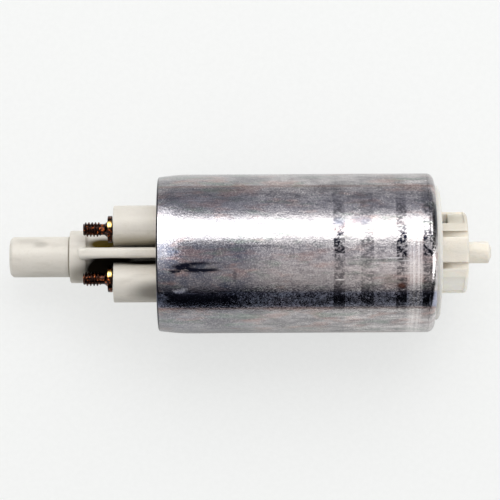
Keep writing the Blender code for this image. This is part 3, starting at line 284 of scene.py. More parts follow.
def can_material(colours):
    """Zinc-plated steel sheet, drawn and rolled: a clear reflection under a thin, patchy dull film.

    Rolling leaves polished rings near the inlet end, and handling leaves dark smears and scratches.
    """
    material, tree, shader, place = new_material("dull_zinc_plated_steel", {})
    parts = add(tree, SPLIT, (add(tree, MAPPING, {"Vector": place, "Scale": (MM, MM, MM)}),))
    along, across = parts.outputs["X"], parts.outputs["Y"]
    grain = patches(tree, place, 0.36, 0.32, 0.68)
    speckle = patches(tree, place, 0.50, 0.40, 0.60, detail=5.0, stretch=1.3)
    clouds = patches(tree, place, 1.7, 0.34, 0.52, 0.15, 1.0, stretch=1.2)
    low_side = add(tree, SOFT_RANGE, (across, 7.0, 0.0))
    outlet_end = add(tree, SOFT_RANGE, (along, 7.0, -5.0))
    inlet_end = add(tree, SOFT_RANGE, (along, 15.0, 27.0, 0.0, 0.65))

    # The film is thin at the outlet end and gone on the rings that the rollers polished
    rings = folded(tree, LARGER, *(add(tree, TIMES, (band(tree, along, start, end, 0.25), share))
                                   for start, end, share in POLISHED))
    middle = add(tree, TIMES_PLUS, (band(tree, across, -13.8, 11.0, 1.8), 0.70, 0.30))
    # A darker tint in dull patches on both outer strips of the can, beyond the middle band
    outer_strips = add(tree, MINUS, (1.0, middle))
    worn = folded(tree, TIMES, rings, clouds, middle)
    drawn_edge = add(tree, TIMES, (add(tree, SOFT_RANGE, (along, -20.2, -18.6, 0.28, 0.0)),
                                   patches(tree, place, 3.0, 0.35, 0.60, 0.4, 1.0)))
    swirl = add(tree, MINUS, (smudge(tree, place, (-16.4, -9.5, 16.4), (2.6, 1.3, 3.0), 1.2),
                              smudge(tree, place, (-17.0, -9.0, 16.8), (2.4, 1.1, 3.0), 1.2)),
                use_clamp=True)
    film = add(tree, SOFT_RANGE, (along, -12.0, 7.0, -0.17, 0.12))
    film = add(tree, TIMES_PLUS, (inlet_end, 0.06, film))
    film = folded(tree, PLUS, film, patches(tree, place, 7.0, 0.35, 0.65, -0.04, 0.04, stretch=3.0),
                  patches(tree, place, 2.2, 0.35, 0.65, -0.06, 0.06, stretch=1.5),
                  patches(tree, place, 0.9, 0.40, 0.60, -0.06, 0.08),
                  add(tree, RANGE, (grain, 0.0, 1.0, -0.12, 0.15)))
    film = add(tree, TIMES_PLUS, (worn, -0.42, film))
    film = add(tree, PLUS, (film, swirl))
    film = add(tree, PLUS, (film, drawn_edge), use_clamp=True)

    # Dark marks: specks in the rings, a smear on top, and painted shade as a dark line along the
    # outlet end's bent edge
    crown = add(tree, TIMES_PLUS, (band(tree, across, -2.0, 3.2, 0.9), 0.45, 0.65))
    specks = folded(tree, TIMES, add(tree, SOFT_RANGE, (speckle, 0.1, 0.6, 0.30, 1.1)), worn, crown)
    oval = add(tree, MINUS, (smudge(tree, place, (-11.8, -4.5, 18.4), (8.6, 1.6, 5.0), 2.2),
                             smudge(tree, place, (-10.6, -4.4, 18.4), (6.6, 1.0, 5.0), 1.8)))
    oval = add(tree, LARGER, (oval, smudge(tree, place, (-17.2, -5.5, 18.2), (3.4, 0.6, 5.0), 1.1)))
    smear = add(tree, TIMES, (oval, patches(tree, place, 0.7, 0.36, 0.52, stretch=3.5)))
    # The last band is painted shade along the outlet end's bent edge
    stain = folded(tree, LARGER, specks, smear, band(tree, along, -21.74, -21.42, 0.05))

    # Broad tones: painted reflection, dimmer over the outlet end and most of all on the lower side;
    # painted reflection, paler on the lower side towards the inlet end; and one pale turned ring
    dimmed_reflection = folded(tree, TIMES, outlet_end, add(tree, SOFT_RANGE, (across, 2.4, -0.8, 0.30, 1.0)),
                 add(tree, RANGE, (across, -14.0, -10.0, 0.5, 1.0)),
                 patches(tree, place, 4.0, 0.36, 0.60, 0.65, 1.0))
    turned = patches(tree, add(tree, COMBINE, {"X": add(tree, SPLIT, (place,)).outputs["X"]}),
                     0.55, 0.42, 0.58, 0.25, 0.9)
    pale_ring = folded(tree, TIMES, band(tree, along, 37.0, 40.1, 0.2), low_side, turned,
                       add(tree, RANGE, (across, -13.0, -9.0, 0.4, 1.0)))
    # Painted reflection: the bluish tint and the two edge lines
    shade, *lines = [(add(tree, TIMES, (band(tree, across, start, end, soft), strength)), hue)
                     for start, end, soft, strength, hue in (CAN_REFLECTION_TINT, *CAN_REFLECTION_EDGES)]
    dull = patches(tree, place, 2.6, 0.44, 0.62, 0.0, 0.75, stretch=3.5)
    layers = (
        (film, colours.can_film),
        # Painted reflection: darker over the outlet end, most of all on the lower side
        (dimmed_reflection, "#5C6272"),
        # Painted reflection: paler on the lower side towards the inlet end
        (add(tree, TIMES, (inlet_end, low_side)), "#ECE6E5"),
        (patches(tree, place, 1.3, 0.46, 0.66, 0.0, 0.40, stretch=1.6), "#77757B"),
        (add(tree, TIMES, (outer_strips, dull)), "#6C6A6E"),
        *((patches(tree, place, size, low, high, 0.0, strength, stretch), hue)
          for size, low, high, strength, stretch, hue in CAN_TINTS),
        (add(tree, RANGE, (grain, 0.45, 0.0, 0.0, 0.26)), "#50505A"),
        (add(tree, RANGE, (grain, 0.55, 1.0, 0.0, 0.20)), "#FFFAF6"),
        shade,
        (pale_ring, "#FFFAF8"),
        *lines,
        (add(tree, TIMES, (stain, 0.92)), colours.can_stain_and_edge_shade),
        *((smudge(tree, place, centre, reach, strength), hue)
          for centre, reach, strength, hue in CAN_MARKS))
    tone = colours.can_metal
    for share, hue in layers:
        tone = add(tree, MIX, (share, tone, hue))
    scratches = patches(tree, place, 0.32, 0.70, 0.76, stretch=30.0, detail=1.0)
    rough = add(tree, RANGE, (film, 0.0, 0.5, 0.09, 0.24))
    rolled = band(tree, along, 19.6, 36.6, 1.0)
    for mark, more in ((speckle, 0.04), (rolled, 0.05), (scratches, 0.12)):
        rough = add(tree, TIMES_PLUS, (mark, more, rough))
    height = add(tree, TIMES_PLUS, (grain, 0.5, speckle))
    height = add(tree, TIMES_PLUS, (scratches, -0.4, height))
    wire_up(tree, shader, {"Base Color": tone, "Roughness": rough,
                           "Metallic": add(tree, MINUS, (1.0, film)),
                           "Normal": add(tree, BUMP, {"Height": height, "Distance": 0.0000075})})
    return material


def acetal_material(name, plastic, recess, recess_reach, shut, marks, glow_through, edge):
    """Natural acetal, injection moulded: satin, slightly waxy, with painted shade in its recesses.

    recess is the colour of that painted shade, laid in by ambient occlusion. shut is the open share
    of the sky at which the painted shade starts and is full, and its full strength.
    marks are soft smudges: centre, half sizes, strength and colour. The darker colours are matt.
    """
    material, tree, shader, place = new_material(name, {
        "IOR": 1.48, "Subsurface Weight": glow_through, "Subsurface Radius": (1.0, 0.85, 0.65),
        "Subsurface Scale": 0.0012})
    flow = patches(tree, place, 1.6, 0.30, 0.70, stretch=4.0)
    fine = patches(tree, place, 0.35, 0.30, 0.70)
    hollow = add(tree, "ShaderNodeAmbientOcclusion", {"Distance": recess_reach}, only_local=True,
                 samples=12)
    starts, full, strongest = shut
    layers = (
        (patches(tree, place, 5.0, 0.35, 0.65, 0.0, 0.12), "#BDB8AE"),
        (patches(tree, place, 1.6, 0.52, 0.72, 0.0, 0.25, stretch=4.0), "#B4AEA3"),
        (patches(tree, place, 0.7, 0.56, 0.70, 0.0, 0.22), "#C2BBAC"),
        # Painted shade: the recess colour, laid in where the moulding shades itself
        (add(tree, SOFT_RANGE, (hollow.outputs["AO"], starts, full, 0.0, strongest)), recess),
        *((smudge(tree, place, centre, reach, strength), hue)
          for centre, reach, strength, hue in marks))
    tone = plastic
    for share, hue in layers:
        tone = add(tree, MIX, (share, tone, hue))
    # The bevel makes the moulded edges catch the light
    rounded = add(tree, "ShaderNodeBevel", {"Radius": edge}, samples=6)
    height = add(tree, TIMES_PLUS, (flow, 0.8, fine))
    bump = add(tree, BUMP, {"Height": height, "Distance": 0.000012, "Normal": rounded})
    wire_up(tree, shader, {"Base Color": tone, "Normal": bump,
                           "Roughness": add(tree, RANGE, (flow, 0.0, 1.0, 0.36, 0.50)),
                           "Specular IOR Level": add(tree, RANGE, (tone, 0.02, 0.35, 0.0, 0.5))})
    return material


def brass_material(colours, highlight_spots):
    """Turned brass, tarnished nearly black under old lacquer, rubbed bright in specks, and with a
    painted highlight of pale brass on each flange's rim, where the softbox's light meets it."""
    material, tree, shader, place = new_material("tarnished_brass", {
        "Metallic": 1.0, "Coat Weight": 0.20, "Coat Roughness": 0.06})
    tarnish = patches(tree, place, 0.6, 0.53, 0.70)
    tone = add(tree, MIX, (tarnish, colours.stud_brass, colours.stud_worn))
    for centre in highlight_spots:
        painted_highlight = smudge(tree, place, centre, (1.3, 1.1, 1.6), 1.0)
        tone = add(tree, MIX, (painted_highlight, tone, "#F0CE7A"))
    wire_up(tree, shader, {"Base Color": tone,
                           "Roughness": add(tree, RANGE, (tarnish, 0.0, 1.0, 0.16, 0.30)),
                           "Normal": add(tree, BUMP, {"Height": tarnish, "Distance": 0.00001})})
    return material


# Mesh helpers


def softened(points, radius, steps=3):
    """Round an outline's inner corners, each by no more than nearly half of its shorter side."""
    result = [Vector(points[0])]
    for before, point, after in zip(points, points[1:], points[2:]):
        here = Vector(point)
        back, ahead = Vector(before) - here, Vector(after) - here
        if back.angle(ahead) > math.radians(165.0):
            result.append(here)
            continue
        reach = min(radius, back.length * 0.45, ahead.length * 0.45)
        start, end = here + back.normalized() * reach, here + ahead.normalized() * reach
        for share in (step / steps for step in range(steps + 1)):
            result.append(start * (1 - share) ** 2 + here * 2 * share * (1 - share)
                          + end * share ** 2)
    return [tuple(point) for point in (*result, Vector(points[-1]))]


def swept(start, end, steps):
    """Angles in radians from one in degrees to another."""
    return [math.radians(start + (end - start) * step / steps) for step in range(steps + 1)]


def arc(x, radius, bend, start, end, steps):
    """Points on an arc round (x, radius), from one angle to another in degrees from +X."""
    return [(x + bend * math.cos(turn), radius + bend * math.sin(turn))
            for turn in swept(start, end, steps)]


def sector(inner, outer, start, end, steps=20):
    """The outline of a stretch of a flat ring, by angles in degrees from +Z towards +Y."""
    turns = swept(start, end, steps)
    return [(radius * math.sin(turn), radius * math.cos(turn))
            for radius, order in ((outer, turns), (inner, reversed(turns))) for turn in order]


def stepped(start, *steps):
    """Outline of a round shape in steps along X from a start: the radius and end of each."""
    outline, x = [(start, 0.0)], start
    for radius, end in steps:
        outline += [(x, radius), (end, radius)]
        x = end
    return outline + [(x, 0.0)]


def lathe(name, outline, segments, y=0.0, z=0.0, ring=False):
    """Turn an outline of (x, radius) points round a line along X."""
    shape = bmesh.new()
    rows = []
    for x, radius in outline:
        count = segments if radius > TINY else 1
        turns = [math.tau * step / count for step in range(count)]
        reach = radius if count > 1 else 0.0
        rows.append([shape.verts.new((x, y + reach * math.sin(turn), z + reach * math.cos(turn)))
                     for turn in turns])
    for near, far in list(zip(rows, rows[1:])) + ([(rows[-1], rows[0])] if ring else []):
        if len(near) == len(far) == 1:
            continue
        for step in range(segments):
            after = (step + 1) % segments
            corners = [near[step % len(near)], near[after % len(near)],
                       far[after % len(far)], far[step % len(far)]]
            shape.faces.new(list(dict.fromkeys(corners)))
    bmesh.ops.recalc_face_normals(shape, faces=shape.faces)
    return from_bmesh(name, shape)


def box(name, low, high, edge=0.0):
    """A block between two corners, with rounded edges if asked."""
    shape = bmesh.new()
    bmesh.ops.create_cube(shape, size=1.0)
    for corner in shape.verts:
        corner.co = Vector([a + (b - a) * (part + 0.5) for a, b, part in
                            zip(Vector(low), Vector(high), corner.co)])
    if edge:
        bmesh.ops.bevel(shape, geom=shape.edges, offset=edge, segments=3, profile=0.5,
                        affect="EDGES")
    return from_bmesh(name, shape)


def prism(name, outline, start, end, along_y=False):
    """A flat outline of (y, z) points drawn out along X, or of (x, z) points drawn out along Y."""
    shape = bmesh.new()
    ends = [[shape.verts.new((first, station, second) if along_y else (station, first, second))
             for first, second in outline] for station in (start, end)]
    for index in range(len(outline)):
        after = (index + 1) % len(outline)
        shape.faces.new((ends[0][index], ends[0][after], ends[1][after], ends[1][index]))
    shape.faces.new(ends[0])
    shape.faces.new(reversed(ends[1]))
    bmesh.ops.recalc_face_normals(shape, faces=shape.faces)
    return from_bmesh(name, shape)


def flat_sheet(name, x_low, x_high, y_low, y_high, z):
    """A flat rectangle that faces up."""
    shape = bmesh.new()
    corners = ((x_low, y_low), (x_high, y_low), (x_high, y_high), (x_low, y_high))
    shape.faces.new([shape.verts.new((x, y, z)) for x, y in corners])
    return from_bmesh(name, shape)


def from_bmesh(name, shape):
    """Keep a bmesh as an object in the scene."""
    mesh = bpy.data.meshes.new(name)
    shape.to_mesh(mesh)
    shape.free()
    return in_scene(name, mesh)


def in_scene(name, data):
    """Put data into the scene as an object."""
    thing = bpy.data.objects.new(name, data)
    bpy.context.scene.collection.objects.link(thing)
    return thing


def baked(thing):
    """Turn a piece's modifiers into a plain mesh."""
    graph = bpy.context.evaluated_depsgraph_get()
    graph.update()
    mesh = bpy.data.meshes.new_from_object(thing.evaluated_get(graph), depsgraph=graph)
    thing.modifiers.clear()
    thing.data = mesh
    return thing


def boolean(piece, operation, tools):
    """Cut or join shapes, then remove the tools."""
    for tool in tools:
        modifier = piece.modifiers.new(tool.name, "BOOLEAN")
        modifier.operation = operation
        modifier.object = tool
        modifier.solver = "EXACT"
    baked(piece)
    for tool in tools:
        bpy.data.objects.remove(tool, do_unlink=True)


def grown(name, tree, values, material):
    """Run a Geometry Nodes tree with its named inputs set, and keep the result as a plain mesh."""
    thing = in_scene(name, bpy.data.meshes.new(name))
    modifier = thing.modifiers.new(tree.name, "NODES")
    modifier.node_group = tree
    values = dict(values, Material=material)
    for item in tree.interface.items_tree:
        if item.item_type == "SOCKET" and item.in_out == "INPUT" and item.name in values:
            modifier[item.identifier] = values[item.name]
    return baked(thing)


def join_shell(piece, shell):
    """Add another object's mesh to a piece as a separate shell."""
    shape = bmesh.new()
    for thing in (piece, shell):
        shape.from_mesh(thing.data)
    shape.to_mesh(piece.data)
    shape.free()
    bpy.data.objects.remove(shell, do_unlink=True)


def finished(piece, material, node, angle=32.0):
    """Shade a piece, give it its material, hang it on the housing and hide the CAD node it stands
    for.
    """
    piece.data.materials.clear()
    piece.data.materials.append(material)
    piece.data.shade_smooth()
    piece.data.set_sharp_from_angle(angle=math.radians(angle))
    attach(piece, HOUSING)
    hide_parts(node)


# Geometry Nodes trees


def new_tree(name, sockets):
    """A Geometry Nodes tree with these named inputs and a material input."""
    tree = bpy.data.node_groups.new(name, "GeometryNodeTree")
    tree.interface.new_socket("Geometry", in_out="OUTPUT", socket_type="NodeSocketGeometry")
    for key, default in sockets.items():
        kind = "NodeSocketInt" if isinstance(default, int) else "NodeSocketFloat"
        tree.interface.new_socket(key, in_out="INPUT", socket_type=kind).default_value = default
    tree.interface.new_socket("Material", in_out="INPUT", socket_type="NodeSocketMaterial")
    return tree, tree.nodes.new("NodeGroupInput").outputs


def end_tree(tree, given, geometry):
    """Realize what a tree made, give it the material and put it out."""
    real = add(tree, "GeometryNodeRealizeInstances", {"Geometry": geometry})
    dressed = add(tree, "GeometryNodeSetMaterial", {"Geometry": real,
                                                    "Material": given["Material"]})
    add(tree, "NodeGroupOutput", {"Geometry": dressed})
    return tree


def laid_wire_tree():
    """Wire laid along X: a coil with closed ends, or a lead that waves once, of twisted strands."""
    tree, given = new_tree("laid wire", {
        "Start X": 0.0, "Y": 0.0, "Z": 0.0, "Length": 0.009, "Reach Y": 0.0017, "Reach Z": 0.0017,
        "Turns": 6.0, "Closed": 0.75, "Wire": 0.0004, "Strands": 1, "Strand Circle": 0.0,
        "Lay": 0.0, "Steps": 240, "Wire Sides": 12})
    line = add(tree, "GeometryNodeCurvePrimitiveLine")
    path = add(tree, "GeometryNodeResampleCurve", {"Curve": line, "Count": given["Steps"]})
    share = add(tree, "GeometryNodeSplineParameter").outputs["Factor"]
    # Each closed end climbs by one wire a turn, and the turns between share the rest
    first = add(tree, OVER, (given["Closed"], given["Turns"]))
    last = add(tree, MINUS, (1.0, first))
    climb = add(tree, TIMES, (given["Closed"], given["Wire"]))
    rest = add(tree, TIMES_PLUS, (climb, -2.0, given["Length"]))
    stretches = ((0.0, first, climb), (first, last, rest), (last, 1.0, climb))
    point = [folded(tree, PLUS, given["Start X"], *(
        add(tree, RANGE, (share, start, end, 0.0, rise)) for start, end, rise in stretches))]
    angle = folded(tree, TIMES, given["Turns"], math.tau, share)
    for kind, key in ((COSINE, "Y"), (SINE, "Z")):
        swing = add(tree, kind, (angle,))
        point.append(add(tree, TIMES_PLUS, (swing, given[f"Reach {key}"], given[key])))
    path = add(tree, "GeometryNodeSetPosition", {"Geometry": path,
                                                 "Position": add(tree, COMBINE, point)})
    path = add(tree, "GeometryNodeSetCurveTilt",
               {"Curve": path, "Tilt": folded(tree, TIMES, given["Lay"], math.tau, share)})
    place = add(tree, OVER, (add(tree, "GeometryNodeInputIndex"), given["Strands"]))
    place = add(tree, TIMES, (place, math.tau))
    spot = [add(tree, TIMES, (add(tree, kind, (place,)), given["Strand Circle"]))
            for kind in (COSINE, SINE)]
    spots = add(tree, "GeometryNodePoints", {"Count": given["Strands"],
                                             "Position": add(tree, COMBINE, spot)})
    half_wire = add(tree, TIMES, (given["Wire"], 0.5))
    ring = add(tree, "GeometryNodeCurvePrimitiveCircle", {"Resolution": given["Wire Sides"],
                                                          "Radius": half_wire})
    profile = add(tree, "GeometryNodeInstanceOnPoints", {"Points": spots, "Instance": ring})
    profile = add(tree, "GeometryNodeRealizeInstances", {"Geometry": profile})
    return end_tree(tree, given, add(tree, "GeometryNodeCurveToMesh", {
        "Curve": path, "Profile Curve": profile, "Fill Caps": True}))


def thread_tree():
    """A screw thread along X: a fine grid rolled into a tube whose radius follows the helix."""
    tree, given = new_tree("screw thread", {
        "Tip X": 0.0, "Length": 0.004, "Radius": 0.002, "Depth": 0.0004, "Pitch": 0.0008,
        "Run-out": 0.0007, "Y": 0.0, "Z": 0.0, "Around": 73, "Along": 133})
    grid = add(tree, "GeometryNodeMeshGrid", {"Size X": given["Length"], "Size Y": 1.0,
                                              "Vertices X": given["Along"],
                                              "Vertices Y": given["Around"]})
    parts = add(tree, SPLIT, (add(tree, "GeometryNodeInputPosition"),))
    half = add(tree, TIMES, (given["Length"], 0.5))
    depth_in = add(tree, PLUS, (parts.outputs["X"], half))
    share = add(tree, PLUS, (parts.outputs["Y"], 0.5))
    turns = add(tree, MINUS, (add(tree, OVER, (depth_in, given["Pitch"])), share))
    wave = add(tree, MATH, (turns, 0.5), operation="PINGPONG")
    from_end = add(tree, MINUS, (given["Length"], depth_in))
    crest = folded(tree, TIMES, add(tree, SOFT_RANGE, (wave, 0.07, 0.42)),
                   *(add(tree, SOFT_RANGE, (distance, 0.0, given["Run-out"]))
                     for distance in (depth_in, from_end)))
    root = add(tree, MINUS, (given["Radius"], given["Depth"]))
    radius = add(tree, TIMES_PLUS, (crest, given["Depth"], root))
    # The end rows of the grid fall to the axis and close the tube
    from_middle = add(tree, MATH, (parts.outputs["X"],), operation="ABSOLUTE")
    short = add(tree, MINUS, (half, 0.000005))
    inside = add(tree, MATH, (from_middle, short), operation="LESS_THAN")
    radius = add(tree, TIMES, (radius, inside))
    turn = add(tree, TIMES, (share, math.tau))
    rolled = [add(tree, PLUS, (depth_in, given["Tip X"]))]
    for kind, key in ((SINE, "Y"), (COSINE, "Z")):
        rolled.append(add(tree, TIMES_PLUS, (add(tree, kind, (turn,)), radius, given[key])))
    tube = add(tree, "GeometryNodeSetPosition", {"Geometry": grid,
                                                 "Position": add(tree, COMBINE, rolled)})
    return end_tree(tree, given, add(tree, "GeometryNodeMergeByDistance", {
        "Geometry": tube, "Distance": 0.000001}))


# Studio

PAPER_REACH = 1.6
TABLE_START = 0.108
TABLE_LIFT = 0.0002
PAPER_GLOW = 0.66

# What the can reflects: degrees from straight up towards +Y, strength and hex colour
ROOM = (
    (-100.0, 0.002, "#C0CCFF"), (-84.0, 0.003, "#C0CCFF"), (-64.0, 0.006, "#C0CCFF"),
    (-60.5, 0.02, "#C8D0FF"), (-56.5, 0.20, "#F4F0FF"), (-45.0, 0.60, "#FFF8F6"),
    (-22.0, 0.74, "#FFF8F8"), (-2.0, 0.62, "#F8F6FF"), (9.0, 0.50, "#F2F4FF"),
    (14.0, 0.80, "#FFFFFF"), (20.0, 3.4, "#FFFFFF"), (33.0, 4.4, "#FFFFFF"),
    (46.0, 3.2, "#FFFFFF"), (54.0, 0.85, "#F8F8FF"), (63.0, 0.54, "#EEF0FF"),
    (80.0, 0.48, "#EEF0FF"), (100.0, 0.30, "#E8ECFF"),
)
ROOM_BRIGHTEST, ROOM_DARKEST = 5.0, 0.02
# How far the room's bands reach to the pump's two ends, as the lean of the reflection along X
ROOM_ENDS = (-0.72, 0.57, 0.12)

# Extra light in the room. The softbox looks wider from the drawn-in outlet end, and a lamp glints
# along the inlet lip: turn towards +Y in radians, lean along X, softness of the lean, strength
GLINTS = ((-0.16, 1.15, -0.60, -0.207, 0.014, 3.2), (-0.50, -0.10, -0.60, -0.207, 0.014, 0.7),
          (-0.80, -0.08, 0.50, 1.10, 0.08, 3.6))
GLINT_SOFT = 0.12
DAYLIGHT_FRONT, DAYLIGHT_BACK = 0.56, 1.0

KEY_ENERGY = 1.40
KEY_SIZE = (0.55, 0.40)
KEY_TURN, KEY_DISTANCE, KEY_SHIFT = 35.0, 0.60, 0.10

CAMERA_ELEVATION = 85.5
CAMERA_DISTANCE = 0.620
CAMERA_ROLL = -0.31
CAMERA_LENS, CAMERA_SENSOR = 186.5, 36.0
CAMERA_CLIP = (0.05, 10.0)
CAMERA_TARGET = (0.00013, 0.00088, 0.0)


def paper_material(colours):
    """Matt white card with the faintest fibre. To the camera it is partly a plain white, as
    in an overexposed studio shot, so that the pump's shadow on it stays light."""
    material, tree, shader, place = new_material("white_card", {"Roughness": 0.9,
                                                                "Specular IOR Level": 0.1})
    shaded = (*(channel * 0.985 for channel in colours.paper[:3]), 1.0)
    tone = add(tree, MIX, (patches(tree, place, 1.2, 0.3, 0.7), colours.paper, shaded))
    wire_up(tree, shader, {"Base Color": tone})
    seen = add(tree, TIMES, (add(tree, "ShaderNodeLightPath").outputs["Is Camera Ray"], PAPER_GLOW))
    glow = add(tree, "ShaderNodeEmission", {"Color": tone, "Strength": 1.0})
    both = add(tree, "ShaderNodeMixShader", (seen, shader, glow))
    wire_up(tree, tree.nodes["Material Output"], {"Surface": both})
    return material


def table_material():
    """Light grey matt laminate, pressed, with faint clouds."""
    material, tree, shader, place = new_material("grey_laminate", {"Roughness": 0.8})
    tone = add(tree, MIX, (patches(tree, place, 4.0, 0.3, 0.7), "#929298", "#9C9CA2"))
    wire_up(tree, shader, {"Base Color": tone})
    return material


def make_world(scene):
    """White to the camera, an even glow for the object, and the room's bands for reflections."""
    world = bpy.data.worlds.new("studio_room")
    world.use_nodes = True
    tree = world.node_tree
    tree.nodes.clear()
    parts = add(tree, SPLIT, (add(tree, "ShaderNodeTexCoord").outputs["Generated"],))
    turn = add(tree, MATH, (parts.outputs["Y"], parts.outputs["Z"]), operation="ARCTAN2")
    ramp = add(tree, "ShaderNodeValToRGB", (add(tree, RANGE, (turn, -math.pi, math.pi)),))
    bands = ramp.color_ramp
    bands.interpolation = "LINEAR"
    while len(bands.elements) > 1:
        bands.elements.remove(bands.elements[-1])
    for number, (degrees, strength, hue) in enumerate(ROOM):
        place = degrees / 360.0 + 0.5
        stop = bands.elements[0] if number == 0 else bands.elements.new(place)
        stop.position = place
        stop.color = (*(strength / ROOM_BRIGHTEST * channel for channel in linear(hue)[:3]), 1.0)
    # Past the two ends of the pump the room is dark, which draws a line round each bent edge
    ends = add(tree, TIMES_PLUS, (band(tree, parts.outputs["X"], *ROOM_ENDS), ROOM_BRIGHTEST,
                                  ROOM_DARKEST))
    room = add(tree, BACKGROUND, {"Color": ramp, "Strength": ends})
    for turn_low, turn_high, x_low, x_high, x_soft, strength in GLINTS:
        glint = folded(tree, TIMES, band(tree, turn, turn_low, turn_high, GLINT_SOFT),
                       band(tree, parts.outputs["X"], x_low, x_high, x_soft), strength)
        extra = add(tree, BACKGROUND, {"Color": "#FFFFFF", "Strength": glint})
        room = add(tree, "ShaderNodeAddShader", (room, extra))
    daylight = add(tree, RANGE, (parts.outputs["Y"], -0.8, 0.8, DAYLIGHT_FRONT, DAYLIGHT_BACK))
    glow = add(tree, BACKGROUND, {"Color": "#FFFFFF", "Strength": daylight})
    white = add(tree, BACKGROUND, {"Color": "#F5F6F5", "Strength": 1.0})
    path = add(tree, "ShaderNodeLightPath")
    lit = add(tree, "ShaderNodeMixShader", (path.outputs["Is Glossy Ray"], glow, room))
    seen = add(tree, "ShaderNodeMixShader", (path.outputs["Is Camera Ray"], lit, white))
    add(tree, "ShaderNodeOutputWorld", {"Surface": seen})
    scene.world = world


def make_key_light():
    """The softbox above and behind the pump. Its reflection is in the room's bands."""
    light = bpy.data.lights.new("softbox", "AREA")
    light.shape = "RECTANGLE"
    light.size, light.size_y = KEY_SIZE
    light.energy = KEY_ENERGY
    lamp = in_scene("softbox", light)
    turn = math.radians(KEY_TURN)
    lamp.location = (KEY_SHIFT, KEY_DISTANCE * math.sin(turn), KEY_DISTANCE * math.cos(turn))
    lamp.rotation_euler = (-turn, 0.0, 0.0)
    lamp.visible_glossy = False


def make_camera(scene):
    """Looks down on the pump, as the photograph does."""
    data = bpy.data.cameras.new("camera")
    data.lens, data.sensor_width = CAMERA_LENS, CAMERA_SENSOR
    data.clip_start, data.clip_end = CAMERA_CLIP
    camera = in_scene("camera", data)
    lean = math.radians(CAMERA_ELEVATION)
    back = Vector((0.0, -math.cos(lean), math.sin(lean)))
    camera.location = Vector(CAMERA_TARGET) + back * CAMERA_DISTANCE
    aim = (-back).to_track_quat("-Z", "Y").to_matrix()
    roll = Matrix.Rotation(math.radians(CAMERA_ROLL), 3, (0.0, 0.0, 1.0))
    camera.rotation_euler = (aim @ roll).to_euler()
    scene.camera = camera


class PUMP_OT_stage(bpy.types.Operator):
    """Lay the paper, set the lights and the camera"""

    bl_idname = "pump.stage"
    bl_label = "Studio"

    def execute(self, context):
        floor = flat_sheet("paper_floor", -PAPER_REACH, PAPER_REACH, -PAPER_REACH, PAPER_REACH,
                           FLOOR_Z)
        floor.data.materials.append(paper_material(context.scene.pump_colours))
        # The table stands for where the paper ends behind the pump. It shows only in the can
        table = flat_sheet("grey_table", -PAPER_REACH, PAPER_REACH, TABLE_START, PAPER_REACH,
                           FLOOR_Z + TABLE_LIFT)
        table.data.materials.append(table_material())
        table.visible_camera = table.visible_diffuse = table.visible_shadow = False
        make_world(context.scene)
        make_key_light()
        make_camera(context.scene)
        context.scene.view_settings.view_transform = "Standard"
        return {"FINISHED"}


# Pieces

# The fine crease where the can's lip begins: how far back from its front edge, and how deep
CREASE = ((0.0, 0.00003), (0.00008, 0.0001), (0.00016, 0.0001), (0.00026, 0.0))
CREASE_FRONT = 0.00015
PLAIN_FROM = 0.0006
CURL_TURN = 82.0
CAN_STEPS, TAPER_STEPS = 110, 12
TAPER_SWELL = 1.6
# The can's hollows: how many a metre, where in the noise, and over what length they fade in
WAVES_ALONG, WAVES_ACROSS = 70.0, 160.0
WAVE_PLACE = Vector((3.1, 7.7, 1.3))
WAVE_FADE = 0.004


class PUMP_OT_can(bpy.types.Operator):
    """Make the drawn and rolled can"""

    bl_idname = "pump.can"
    bl_label = "Can"

    def execute(self, context):
        sizes = context.scene.pump_sizes
        wall, corner, curl = sizes.can_wall, sizes.rim_corner, sizes.curl_radius
        radius, opening = sizes.can_radius, sizes.rim_opening
        drawn, lip = radius - sizes.can_taper_depth, radius - curl
        edge = lip - sizes.lip_turn
        taper = X_CASING + sizes.can_taper_length
        curl_x, rim_x = X_CASING_END - curl, X_CASING + corner
        crease = curl_x + CREASE_FRONT
        start = crease - PLAIN_FROM
        outline = [(X_CASING_END - wall, edge), (X_CASING_END - EDGE_BREAK, edge),
                   (X_CASING_END, edge + EDGE_BREAK)]
        outline += arc(curl_x, lip, curl, 0.0, CURL_TURN, 14)
        outline += [(crease - back, radius - deep) for back, deep in CREASE]
        outline += [(start + (taper - start) * step / CAN_STEPS, radius)
                    for step in range(CAN_STEPS + 1)]
        for share in (step / TAPER_STEPS for step in range(1, TAPER_STEPS)):
            outline.append((taper + (rim_x - taper) * share,
                            radius + (drawn - radius) * share ** TAPER_SWELL))
        outline += arc(rim_x, drawn - corner, corner, 90.0, 180.0, 6)
        outline += [(X_CASING, opening + EDGE_BREAK), (X_CASING + EDGE_BREAK, opening),
                    (X_CASING + wall, opening), (X_CASING + wall, drawn - wall - EDGE_BREAK),
                    (X_CASING + wall + EDGE_BREAK, drawn - wall), (taper, radius - wall)]
        outline += arc(curl_x, lip, curl - wall, 90.0, 0.0, 8)
        piece = lathe("can_shell", outline, segments=192, ring=True)
        for vertex in piece.data.vertices:
            x, y, z = vertex.co
            away = math.hypot(y, z)
            if away > radius - wall / 2 and taper < x < start:
                lump = noise.noise(Vector((x * WAVES_ALONG, y * WAVES_ACROSS, z * WAVES_ACROSS))
                                   + WAVE_PLACE)
                hollow = sizes.can_waviness * (0.5 + 0.5 * lump)
                fade = min(1.0, (x - taper) / WAVE_FADE, (start - x) / WAVE_FADE)
                vertex.co.yz = Vector((y, z)) * (1 - hollow * fade / away)
        finished(piece, can_material(context.scene.pump_colours), "casing_can")
        return {"FINISHED"}


